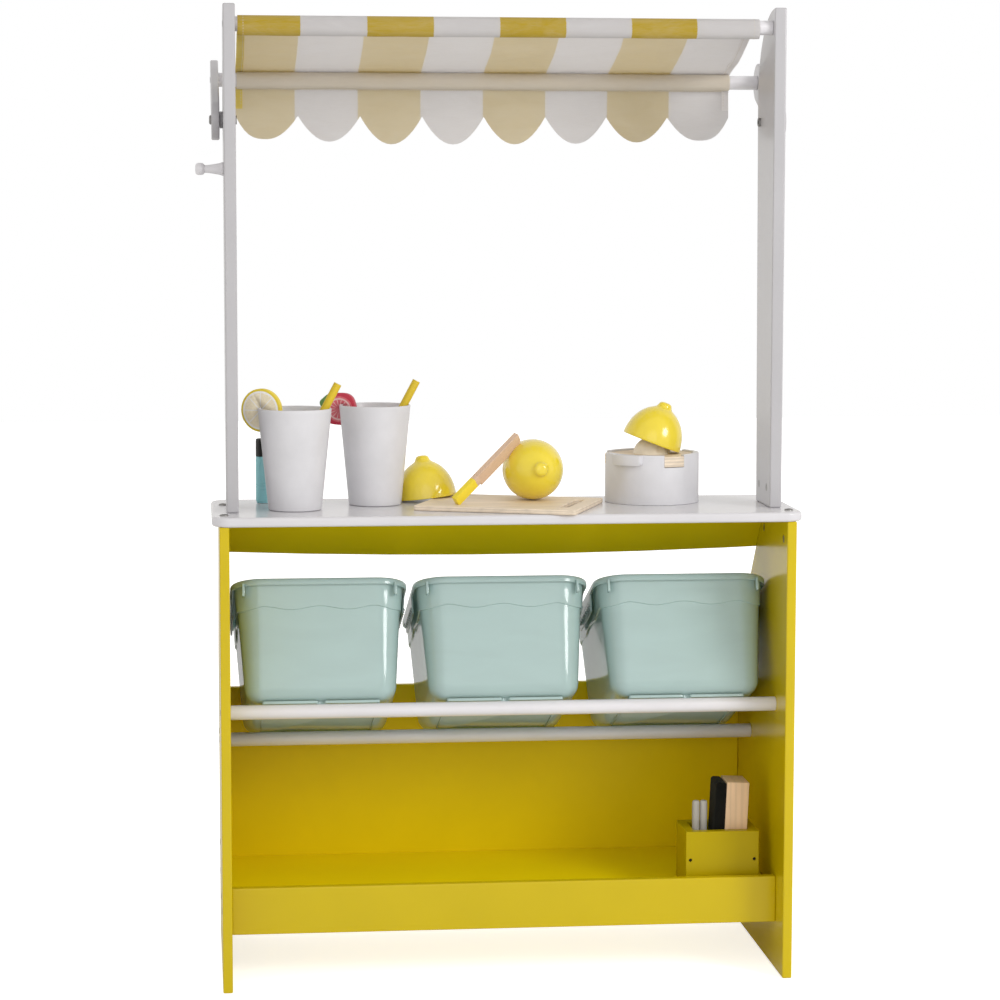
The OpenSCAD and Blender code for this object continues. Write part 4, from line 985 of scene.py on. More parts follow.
class STALL_OT_hardware(StallPiece, bpy.types.Operator):
    """Screw heads and bolt heads, set on their CAD places by Geometry Nodes; the barrel nuts, pivot nuts and
    the caddy's screws keep their CAD shapes and get a finish
    """

    bl_idname = "stall.hardware"
    bl_label = "Fasteners"

    def execute(self, context):
        steel = plated_steel("Zinc plating", context.scene.stall_boards.steel)
        sides = {"frame_screws": "stall", "canopy_rail_screws": "stall", "front_rail_screws": "awning"}
        for node, body in sides.items():
            reach = size_of(node).x / 2 - 1 * MM
            shown = [(e, way) for e, way in outer_ends(node) if abs(e.x - MID_X) > reach]
            self.heads(node, shown, body, steel, SCREW_HEAD)
        slope, up, sunk = math.atan2(APRON_RISE, APRON_RUN), Vector((0, 0, 1)), HEAD_SUNK * MM
        slant = Vector((0, math.cos(slope), math.sin(slope)))
        apron = [(e, slant) for e in ends_facing("apron_screws", slant)]
        self.heads("apron_screws", apron, "stall", steel, SCREW_HEAD)
        bolts = [(e - up * sunk, up) for e in ends_facing("counter_bolts", up)]
        self.heads("counter_bolts", bolts, "stall", steel, COUNTER_HEAD)
        bolts = [(e + up * sunk, -up) for e in ends_facing("post_bolts", -up)]
        self.heads("post_bolts", bolts, "stall", steel, BOLT_HEAD)
        pivots = [(e - way * sunk, way) for e, way in outer_ends("arm_pivot_bolts")]
        self.heads("arm_pivot_bolts", pivots, "stall", steel, BOLT_HEAD)
        # Painted shade: the caddy's screws take a near-black steel that stands for the shade in their holes.
        dark = plated_steel("Blackened screws", srgb(44, 40, 36))
        for node in ("counter_barrel_nuts", "post_barrel_nuts", "arm_pivot_nuts", "caddy_screws"):
            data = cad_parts[node].data
            data.materials.clear()
            data.materials.append(dark if node == "caddy_screws" else steel)
        return {"FINISHED"}

    def heads(self, node, places, body, material, head):
        radius, height, depth = head
        pattern = socket_head(radius, height, radius * 0.46, depth).build(node + "_pattern", Matrix(), 30)
        piece = fit(node + "_heads", places, pattern, material)
        settle(piece, body, material, "zinc_steel", node)


# Cloth


def shell(shape, grid, normals, across, along, thickness, outer, inner):
    """Closed thin cloth from a grid of rows; across and along are the points' places on the flat cloth."""
    rows, columns = len(grid), len(grid[0])
    start, places, flat = len(shape.verts), [], []
    for side in (0.5, -0.5):
        for i in range(rows):
            for j in range(columns):
                places.append(grid[i][j] + normals[i][j] * thickness * side)
                flat.append(Vector((across[i][j], along[i][j], side)))
    half = rows * columns
    faces, kinds = [], []
    for i in range(rows - 1):
        for j in range(columns - 1):
            a, d = i * columns + j, (i + 1) * columns + j
            b, c = a + 1, d + 1
            faces += [(a, b, c, d), (half + d, half + c, half + b, half + a)]
            kinds += [outer, inner]
    border = list(range(columns)) + [i * columns + columns - 1 for i in range(1, rows)]
    border += [(rows - 1) * columns + j for j in range(columns - 2, -1, -1)]
    border += [i * columns for i in range(rows - 2, 0, -1)]
    for k, a in enumerate(border):
        b = border[(k + 1) % len(border)]
        faces.append((b, a, half + a, half + b))
        kinds.append(outer)
    shape.verts += places
    shape.flat += flat
    shape.faces += [tuple(v + start for v in f) for f in faces]
    shape.kinds += kinds
    return shape


def build_cloth(shape, name):
    """Cloth object whose local coordinates are its place on the flat cloth."""
    piece = shape.build(name, Matrix(), 50)
    piece.data.attributes["local"].data.foreach_set("vector", [c for v in shape.flat for c in v])
    return piece


def cloth_normals(grid):
    """Unit normals of a grid, pointing out of the printed side."""
    rows, columns = len(grid), len(grid[0])
    normals = []
    for i in range(rows):
        line = []
        for j in range(columns):
            across = grid[i][min(j + 1, columns - 1)] - grid[i][max(j - 1, 0)]
            along = grid[min(i + 1, rows - 1)][j] - grid[max(i - 1, 0)][j]
            line.append(across.cross(along).normalized())
        normals.append(line)
    return normals


def lengths(path):
    """Distance of each point from the start, along the path."""
    out = [0.0]
    for a, b in zip(path, path[1:]):
        out.append(out[-1] + (b - a).length)
    return out


def stitch_pattern(radius):
    """Spindle of thread along X."""
    profile = [(radius * math.sin(math.pi * k / 6) + 0.02, STITCH_L * (k / 6 - 0.5)) for k in range(7)]
    return Shape().lathe(profile, 6).build("stitch_pattern", turn("Y", 90), 60)


def cloth_x(share_mm):
    """Part-frame X, in millimetres, at a distance from the cloth's left edge."""
    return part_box("canopy_cloth")[0].x / MM + share_mm


class STALL_OT_canopy(StallPiece, bpy.types.Operator):
    """Striped canopy: one sheet with a sewn sleeve on the rear rail, side hems and stitches"""

    bl_idname = "stall.canopy"
    bl_label = "Canopy cloth"

    def execute(self, context):
        cloth = context.scene.stall_cloth
        width = size_of("canopy_cloth").x / MM
        rear, front = middle("rear_canopy_rail") / MM, middle("front_canopy_rail") / MM
        run = math.hypot(front.y - rear.y, front.z - rear.z)
        lean = math.atan2(front.z - rear.z, front.y - rear.y) + math.asin((LAP_R - SLEEVE_R) / run)
        span = math.sqrt(run**2 - (LAP_R - SLEEVE_R) ** 2)
        sleeve = [(SEAM_AT, SLEEVE_R - 1.9), (20, 4.6), (13.5, -4.2), (6.5, -11.4), (-0.5, -14.0)]
        sleeve += [(-6.6, -11.0), (-9.7, -4.5), (-9.95, 1.5), (-8.2, 6.0), (-4.6, 9.0), (0.0, SLEEVE_R)]
        path = spline([(p, q, 0) for p, q in sleeve], 4)
        steps, columns, sleeve_end = 40, 96, len(path)
        for i in range(1, steps + 1):
            s = span * i / steps
            free = max(0.0, (s - SEAM_AT) / (span - SEAM_AT))
            path.append(Vector((s, SLEEVE_R - SHEET_SAG * math.sin(math.pi * free) ** 2, 0)))
        for a in range(78, 4, -12):
            r = math.radians(a)
            path.append(Vector((span + LAP_R * math.cos(r), SLEEVE_R - LAP_R + LAP_R * math.sin(r), 0)))
        along = lengths(path)

        def lift(x, p, q):
            free = max(0.0, min(1.0, (p - SEAM_AT) / (span - SEAM_AT)))
            loose = math.sin(math.pi * free) ** 2 if p > SEAM_AT else 0.0
            soft = noise.noise((x * 0.011, p * 0.016, 2.3))
            soft += 0.5 * noise.noise((x * 0.04 + p * 0.02, p * 0.03, 7.1))
            slack = 0.35 * noise.noise((x * 0.03, q * 0.05, 5.0)) if p <= SEAM_AT and q < 0 else 0.0
            return cloth.wrinkle / MM * (soft * loose * 1.6 + slack)

        def place(x, p, q):
            y = rear.y + p * math.cos(lean) - q * math.sin(lean)
            return Vector((cloth_x(x), y, rear.z + p * math.sin(lean) + q * math.cos(lean)))

        def grid_of(xs, rows):
            points = [path[i] for i in rows]
            grid = [[place(x, p.x, p.y + lift(x, p.x, p.y)) for x in xs] for p in points]
            return grid, cloth_normals(grid)

        def add(xs, rows, drop, thick, outer, inner):
            grid, normals = grid_of(xs, rows)
            grid = [[g - n * drop for g, n in zip(a, b)] for a, b in zip(grid, normals)]
            across = [[x + CLOTH_START for x in xs]] * len(rows)
            shell(shape, grid, normals, across, [[along[i]] * len(xs) for i in rows], thick, outer, inner)

        shape = Shape()
        thick, hem = cloth.thick / MM, cloth.hem / MM
        every, xs = list(range(len(path))), [width * k / columns for k in range(columns + 1)]
        add(xs, every, 0.0, thick, 0, 1)
        roof = [i for i in every if i > sleeve_end + 4 and path[i].x < span]
        for hem_xs in ([0.1, hem * 0.5, hem], [width - hem, width - hem * 0.5, width - 0.1]):
            add(hem_xs, roof, thick + 0.25, thick * 0.8, 3, 3)
        sheet = build_cloth(shape, "canopy_sheet")
        sheet.data.materials.append(canvas("Printed canvas", cloth))
        thread = matte("Sewing thread", cloth.thread, 900.0, 0.2)
        lines = []
        for rows, inset, sink in (
            (roof, hem * 0.82, -(1.5 * thick + 0.75)),
            (every[6:44], hem * 0.7, thick / 2 + 0.1),
        ):
            for x in (inset, width - inset):
                grid, normals = grid_of([x - 1, x, x + 1], rows)
                lines.append([(g[1] + n[1] * sink) * MM for g, n in zip(grid, normals)])
        outside = [i for i in every[20:] if path[i].y > 5]
        row = min(outside, key=lambda i: abs(path[i].x - SEAM_AT - 2))
        grid, normals = grid_of(xs, [row - 1, row, row + 1])
        for drop in (thick / 2 + 0.12, -(thick / 2 + 0.12)):
            lines.append([(g + n * drop) * MM for g, n in zip(grid[1], normals[1])])
        stitches = sew("canopy_stitches", lines, stitch_pattern(0.32), thread, cloth.stitch, 3)
        start, end = place(0, SEAM_AT + 8, 0) * MM, place(0, span - 14, 0) * MM
        start.x = end.x = 0
        for piece in (sheet, stitches):
            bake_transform(piece)
        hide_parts("canopy_cloth")
        return {"FINISHED"}


def scallop_depth(x, width):
    """Drop of the valance's cut edge below the notches, at a distance from the left edge."""
    place = x / width * SCALLOPS
    number = min(int(place), SCALLOPS - 1)
    off = abs(2 * (place - number) - 1)
    outer = (number == 0 and place < 0.5) or (number == SCALLOPS - 1 and place > SCALLOPS - 0.5)
    return SCALLOP_DEPTHS[number] * (1 - off ** (3 if outer else 2))


class STALL_OT_valance(StallPiece, bpy.types.Operator):
    """Scalloped valance with its plain sleeve on the front rail"""

    bl_idname = "stall.valance"
    bl_label = "Valance"

    def execute(self, context):
        cloth = context.scene.stall_cloth
        width = size_of("canopy_valance").x / MM
        rail = middle("front_canopy_rail") / MM
        thick, hem = cloth.thick / MM, cloth.hem / MM
        shape, per = Shape(), 14
        xs = [width * k / (SCALLOPS * per) for k in range(SCALLOPS * per + 1)]
        rows, top = 16, 8.5

        def skirt(x, share):
            drop = SCALLOP_DROP + scallop_depth(min(max(x, 0.01), width - 0.01), width)
            z = top - share * (top + drop)
            part = width / SCALLOPS
            curl = ((x % part) / part - 0.5) ** 2 * 4
            sway = noise.noise((x * 0.009, share * 0.7, 4.0)) * 3.0
            sway += noise.noise((x * 0.03, share, 9.0)) * 0.8
            end = max(0.0, (x - width + part) / part) ** 2 * 3.5
            y = rail.y + 11.0 + share**1.4 * (sway + 1.6 * curl - end)
            return Vector((cloth_x(x), y, rail.z + z)), drop

        grid = [[skirt(x, i / rows)[0] for x in xs] for i in range(rows + 1)]
        normals = cloth_normals(grid)
        flat = [[SEAM_AT + (i / rows) * (top + skirt(x, 1)[1]) for x in xs] for i in range(rows + 1)]
        shell(shape, grid, normals, [[x + CLOTH_START for x in xs]] * (rows + 1), flat, thick, 0, 1)
        fold_rows, back = 7, Vector((0, thick + 0.2, 0))
        folds = [[0.1, hem * 0.5, hem * 0.92], [width - hem * 0.92, width - hem * 0.5, width - 0.1]]
        for fold in folds:
            deep = [top + skirt(x, 1)[1] for x in fold]
            strip, across, flat = [], [[x + CLOTH_START for x in fold]] * fold_rows, []
            for i in range(fold_rows):
                strip.append([skirt(x, (5 + 6.6 * i) / d)[0] - back for x, d in zip(fold, deep)])
                flat.append([10.0 + 6 * i] * len(fold))
            shell(shape, strip, cloth_normals(strip), across, flat, thick * 0.7, 3, 3)
        loop = [(10.2, 5.0), (8.6, 6.6), (5.5, 8.6), (0, 10.2), (-6.0, 8.4), (-9.7, 3.4), (-9.9, -2.3)]
        loop += [(-7.6, -7.0), (-2.8, -9.8), (3.4, -10.2), (7.8, -9.6), (9.6, -10.0), (10.1, -11.2)]
        path = spline([(p, q, 0) for p, q in loop], 3)
        along = lengths(path)
        cols = [1.5 + (width - 3.0) * k / 72 for k in range(73)]

        def sleeve(x, p, q):
            slack = noise.noise((x * 0.02, q * 0.08, 1.0)) * 0.55
            slack += noise.noise((x * 0.07, q * 0.1, 6.0)) * 0.25
            rise = q + slack * (0.4 if q > 5 else 0.8)
            return Vector((cloth_x(x), rail.y + p * (1 + 0.03 * slack), rail.z + rise))

        tube = [[sleeve(x, p.x, p.y) for x in cols] for p in path]
        flat = [[a] * len(cols) for a in along]
        shell(shape, tube, cloth_normals(tube), [cols] * len(path), flat, thick * 0.9, 2, 2)
        piece = build_cloth(shape, "valance_sheet")
        # Painted shade: the valance's inside colours are darkened to 0.84.
        printed = canvas("Printed canvas, valance", cloth, 0.84)
        settle(piece, "valance", printed, "striped_cloth", "canopy_valance")
        thread = matte("Sewing thread, valance", cloth.thread, 900.0, 0.2)
        seam = [(x, (top + 11.8) / (top + skirt(x, 1)[1])) for x in xs]
        under = [(skirt(x, share)[0] - Vector((0, 0.5 * thick + 0.15, 0))) * MM for x, share in seam]
        back = Vector((0, 1.6 * thick + 0.2, 0))
        sides = [
            [(skirt(x, 0.12 + 0.03 * k)[0] - back) * MM for k in range(16)]
            for x in (hem * 0.72, width - hem * 0.72)
        ]
        stitches = sew("valance_stitches", [under, *sides], stitch_pattern(0.3), thread, cloth.stitch, 5)
        settle(stitches, "valance", thread, "striped_cloth")
        deep = top + SCALLOP_DROP + max(SCALLOP_DEPTHS) + along[-1]
        return {"FINISHED"}


# Bins


class STALL_OT_bins(StallPiece, bpy.types.Operator):
    """Three moulded bins with a turned rim, a wavy step, hand grips and foot ribs"""

    bl_idname = "stall.bins"
    bl_label = "Bins"

    def execute(self, context):
        bins = context.scene.stall_bins
        mint = plastic("Mint plastic", bins.mint, 0.13, 0.25)
        upper, lower = middle("upper_bin_rail"), middle("lower_bin_rail")
        tilt = math.atan2(upper.z - lower.z, lower.y - upper.y)
        seat = size_of("upper_bin_rail").z / 2 + 0.3 * MM
        foot_y, foot_z = upper.y + seat * math.sin(tilt), upper.z + seat * math.cos(tilt)
        for name in ("left", "middle", "right"):
            node = "bin_" + name
            matrix = Matrix.Translation((middle(node).x, foot_y, foot_z)) @ Matrix.Rotation(-tilt, 4, "X")
            rim_w = size_of(node).x / MM
            tub = self.tub(bins, rim_w).build(node + "_tub", matrix, 38)
            settle(tub, name + "_bin", mint, "mint_plastic", node)
            ribs = self.ribs(bins, rim_w, node, matrix, mint)
            settle(ribs, name + "_bin", mint, "mint_plastic")
        return {"FINISHED"}

    def tub(self, bins, rim_w):
        height = BIN_H
        flare = height * math.tan(math.radians(BIN_DRAFT))
        half_w = rim_w / 2 - BIN_LIP - flare
        half_d = BIN_FOOT_D / 2
        outline = rounded_ring(half_w, half_d, BIN_FOOT_R, 10, 24)
        centre = Vector((0, half_d - BIN_OVER))
        swing, line = bins.wave / MM, height - bins.line_drop / MM
        base, fillet = 2.6, bins.foot_round / MM
        grip_h, grip_l = BIN_GRIP

        def wave(k, t):
            if k == int(k):
                return line + swing * math.cos(2 * math.pi * t)
            return line + swing * (1 - 1.7 * math.sin(math.pi * t))

        def hem(p, k):
            if k not in (1, 3):
                return height - BIN_SKIRT
            reach = abs(p.y) - grip_l / 2
            s = max(0.0, min(1.0, 0.5 - reach / 12))
            return height - BIN_SKIRT - (grip_h - BIN_SKIRT) * s * s * (3 - 2 * s)

        def ring(level, spread):
            out = []
            for p, way, k, t in outline:
                z = level(p, k, t) if callable(level) else level
                q = centre + p + way * (flare * z / height + spread)
                out.append(Vector((q.x, q.y, z)))
            return out

        rings = []
        for i in range(8):
            a = math.pi / 2 * i / 7
            rings.append(ring(base + fillet * (1 - math.cos(a)), fillet * (math.sin(a) - 1)))
        for share in (0.3, 0.65, 0.9):
            rings.append(ring(lambda p, k, t, s=share: base + fillet + (wave(k, t) - base - fillet) * s, 0))
        for rise, step in ((-0.9, 0.0), (-0.3, 0.05), (0.3, 1.7), (0.9, 1.8)):
            rings.append(ring(lambda p, k, t, r=rise: wave(k, t) + r, step))
        for drop, spread in ((20, 1.8), (3.4, 1.8), (2.6, 2.3), (2.4, BIN_LIP - 2.6)):
            rings.append(ring(height - drop, spread))
        for rise, inset in ((0.7, 2.2), (0.0, 1.6), (0.0, 0.7), (0.7, 0.0)):
            rings.append(ring(lambda p, k, t, r=rise: hem(p, k) + r, BIN_LIP - inset))
        rings.append(ring(height - 5.6, BIN_LIP))
        bend = 4.4
        for i in range(1, 6):
            a = math.pi / 2 * i / 5
            rings.append(ring(height - bend * (1 - math.sin(a)), BIN_LIP - bend * (1 - math.cos(a))))
        for drop, spread in ((0, -0.9), (0.5, -1.9), (1.6, -BIN_WALL), (66, -BIN_WALL)):
            rings.append(ring(height - drop, spread))
        floor, inner = base + BIN_WALL, fillet - BIN_WALL
        for i in range(6):
            a = math.pi / 2 * i / 5
            rings.append(ring(floor + inner * (1 - math.sin(a)), -BIN_WALL - inner * (1 - math.cos(a))))
        shape = Shape().loft(rings)
        self.details(shape, half_w, half_d, flare, base)
        return shape

    def details(self, shape, half_w, half_d, flare, base):
        """Gussets under the rim near the corners, and the ribs that the tub stands on."""
        for x in (-1, 1):
            for far in (-1, 1):
                at_x = x * (half_w + 2)
                y = half_d - BIN_OVER + far * (half_d + flare * 0.95)
                shape.block((at_x - 1.6, y - 4.0, BIN_H - 22), (at_x + 1.6, y + 4.0, BIN_H - 6), 0.6)
        rib, loop_w = 1.1, half_w * 0.77
        near, far = -BIN_OVER + 7.0, 2 * half_d - BIN_OVER - 34
        for x in (-1, 1):
            shape.block((x * loop_w - rib, near, 0), (x * loop_w + rib, far, base + 1), 0.4)
            edge = sorted((x * 5.5, x * loop_w))
            shape.block((edge[0], near - rib * 0.8, 0), (edge[1], near + rib * 0.8, base + 1), 0.4)
        shape.block((-loop_w, far - rib, 0), (loop_w, far + rib, base + 1), 0.4)
        rings, lift = [], Vector((0, 0, base + 1))
        for k in range(13):
            c, s = math.cos(math.pi * k / 12), math.sin(math.pi * k / 12)
            a, b = (Vector((r * c, near + 1.2 * rib + r * s, 0)) for r in (4.4, 6.4))
            rings.append([a, b, b + lift, a + lift])
        shape.loft(rings)

    def ribs(self, bins, rim_w, node, matrix, material):
        """Short ribs along both hand grips."""
        pattern = Shape().block((-1.0, -0.6, -7.2), (1.0, 0.75, 7.2), 0.45)
        pattern = pattern.build(node + "_rib", turn("X", 90))
        grip_h, grip_l = BIN_GRIP
        places = []
        half_d = BIN_FOOT_D / 2
        for side in (-1, 1):
            for i in range(bins.ribs):
                y = half_d - BIN_OVER + (i / (bins.ribs - 1) - 0.5) * (grip_l - 22)
                place = matrix @ (Vector((side * (rim_w / 2 - 0.7), y, BIN_H - grip_h + 9.2)) * MM)
                places.append((place, matrix.to_3x3() @ Vector((side, 0, 0))))
        return fit(node + "_ribs", places, pattern, material)


# Chalk caddy


class STALL_OT_caddy(StallPiece, bpy.types.Operator):
    """Chalk caddy with two chalk sticks and a felt eraser"""

    bl_idname = "stall.caddy"
    bl_label = "Chalk caddy"

    def execute(self, context):
        boards, play = context.scene.stall_boards, context.scene.stall_play
        box = eased_copy("chalk_caddy", "chalk_caddy_box", 1.0 * MM, 0.03, flat=BOARD_FACE)
        # Painted shade: the caddy takes a darker copy of the cabinet's yellow (0.57).
        yellow, gloss = shade(boards.yellow, 0.57), boards.gloss * 1.3
        paint = lacquer("Yellow paint, caddy", yellow, gloss, (60, 60, 6), 0.0, 0.15)
        settle(box, "caddy", paint, "yellow_lacquer", "chalk_caddy")
        chalk = matte("Chalk", play.chalk, 700.0, 0.35, 0.06)
        for side, phase in (("left", 1.7), ("right", 4.1)):
            node = "chalk_stick_" + side
            size = size_of(node) / MM
            r, length = size.x / 2, size.z
            profile = [(0.3, 0), (r - 0.9, 0.0), (r - 0.1, 0.8)]
            profile += [(r - 0.045 * (k % 2), 2 + (length - 6) * k / 12) for k in range(13)]
            profile += [(r - 0.15, length - 2.6), (r - 0.5, length - 1.4), (r - 1.3, length - 0.4)]
            profile.append((0.3, length))

            def wobble(a, z, p=phase):
                return 1 - 0.035 * (0.5 + 0.5 * noise.noise((2 * math.cos(a) + p, 2 * math.sin(a), z * 0.12)))

            stick = Shape().lathe(profile, 28, wobble).build(node + "_worn", foot_of(node))
            settle(stick, side + "_chalk", chalk, "chalk", node)
        self.eraser(play)
        return {"FINISHED"}

    def eraser(self, play):
        lean, tall, thick, rows, rings = 2.5, 120.0, 14.0, 24, []
        wood = bare_wood("Eraser wood", srgb(230, 196, 158), (34, 34, 3))
        block = eased_copy("eraser_block", "eraser_block_wood", 1.2 * MM, 0.01)
        settle(block, "eraser", wood, "bare_wood", "eraser_block")
        deep = size_of("eraser_felt").y / MM
        outline = rounded_ring(thick / 2, tall / 2, 4.2, 8, 40)
        for i in range(rows + 1):
            y = deep * i / rows
            inset = 1.6 * max(0.0, 1 - min(y, deep - y) / 2.2) ** 2
            ring = []
            for p, way, _, _ in outline:
                fuzz = 0.22 * noise.noise((p.x * 0.6, p.y * 0.35, y * 0.4))
                fuzz += 0.14 * noise.noise((p.x * 2, p.y * 1.4, y * 1.5))
                q = p - way * (inset + 0.25 - fuzz)
                ring.append(Vector((thick / 2 + q.x, y, tall / 2 + q.y)))
            rings.append(ring)
        foot = Matrix.Translation(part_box("eraser_felt")[0]) @ turn("Y", lean)
        felt = Shape().loft(rings).build("eraser_felt_pad", foot, 60)
        dark = matte("Black felt", play.dark, 500.0, 0.7, 0.2, 1.0, 0.04)
        settle(felt, "eraser", dark, "black_felt", "eraser_felt")


# Play food


def dome_profile(radius, dome, nub_r, nub_l):
    """Half a lemon on its cut face: a full dome with a soft shoulder and a rounded nub."""
    shoulder = nub_r + nub_l * 0.25
    axis = dome / math.sqrt(1 - (shoulder / radius) ** 2)
    top = math.acos(nub_r * 1.58 / radius)
    out = [(radius * math.cos(top * k / 18), axis * math.sin(top * k / 18)) for k in range(19)]
    neck = [(1.35, -0.02), (1.2, 0.08), (1.08, 0.22), (1.0, 0.39), (0.95, 0.55), (0.87, 0.72), (0.75, 0.86)]
    neck += [(0.58, 0.95), (0.35, 1.0)]
    return out, [(nub_r * r, dome + nub_l * z) for r, z in neck]


def cut_face(node):
    """Centre and outward axis of a half lemon, read from the flat face of its CAD solid."""
    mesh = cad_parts[node].data
    groups = {}
    for p in mesh.polygons:
        key = tuple(round(c, 2) for c in p.normal)
        area, total = groups.get(key, (0.0, Vector()))
        groups[key] = (area + p.area, total + p.center * p.area)
    key = max(groups, key=lambda k: groups[k][0])
    area, total = groups[key]
    axis = -Vector(key).normalized()
    centre = total / area
    return Matrix.Translation(centre) @ axis.to_track_quat("Z", "Y").to_matrix().to_4x4()


class STALL_OT_lemons(StallPiece, bpy.types.Operator):
    """Painted lemon halves: one loose, two that make a whole lemon, one squeezed"""

    bl_idname = "stall.lemons"
    bl_label = "Lemons"

    def execute(self, context):
        play = context.scene.stall_play
        paint = painted_wood("Lemon paint", play.lemon, 0.2, coat=0.7)
        radius, dome, nub_r, nub_l = 38.5, 45.5, 9.2, 8.5
        body, nub = dome_profile(radius, dome, nub_r, nub_l)

        def lumpy(a, z):
            swell = noise.noise((1.3 * math.cos(a), 1.3 * math.sin(a), z * 0.03)) * 0.008
            return 1 - 0.004 + min(0.004, swell) if z > 3 else 1.0

        bodies = {
            "lemon_half": "loose_half",
            "lemon_near_half": "lemon_near",
            "lemon_far_half": "lemon_far",
        }
        for node, rider in bodies.items():
            rim = [(1.0, 0), (radius - 4, 0), (radius - 1.0, 0.15), (radius - 0.25, 0.8)]
            profile = rim + body[1:] + nub + [(0.6, dome + nub_l)]
            half = Shape().lathe(profile, 72, lumpy).build(node + "_turned", cut_face(node), 48)
            settle(half, rider, paint, "lemon_paint", node)
        self.squeezed(paint, body, nub, lumpy, radius, dome + nub_l)
        return {"FINISHED"}

    def squeezed(self, paint, body, nub, lumpy, radius, tip):
        reamer, lean = middle("juicer_reamer"), 21.0
        aside = size_of("juicer_reamer").x / 48
        lift = 0.3 + radius * math.sin(math.radians(lean))
        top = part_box("juicer_plate")[1].z + lift * MM
        matrix = Matrix.Translation((reamer.x - aside, reamer.y, top)) @ turn("Y", lean)
        wide, high = 30, 24
        bend = [math.pi / 2 * k / 14 for k in range(13, -1, -1)]
        hollow = [(0.8, high)] + [(wide * math.cos(a), high * math.sin(a)) for a in bend]
        rim = [(wide + 0.2, 0.0), (radius - 0.8, 0.0), (radius - 0.2, 0.6)]
        shape = Shape().lathe(hollow + rim + body[1:] + nub + [(0.6, tip)], 72, lumpy)
        half = shape.build("squeezed_lemon_half_turned", matrix, 48)
        settle(half, "squeezed_half", paint, "lemon_paint", "squeezed_lemon_half")


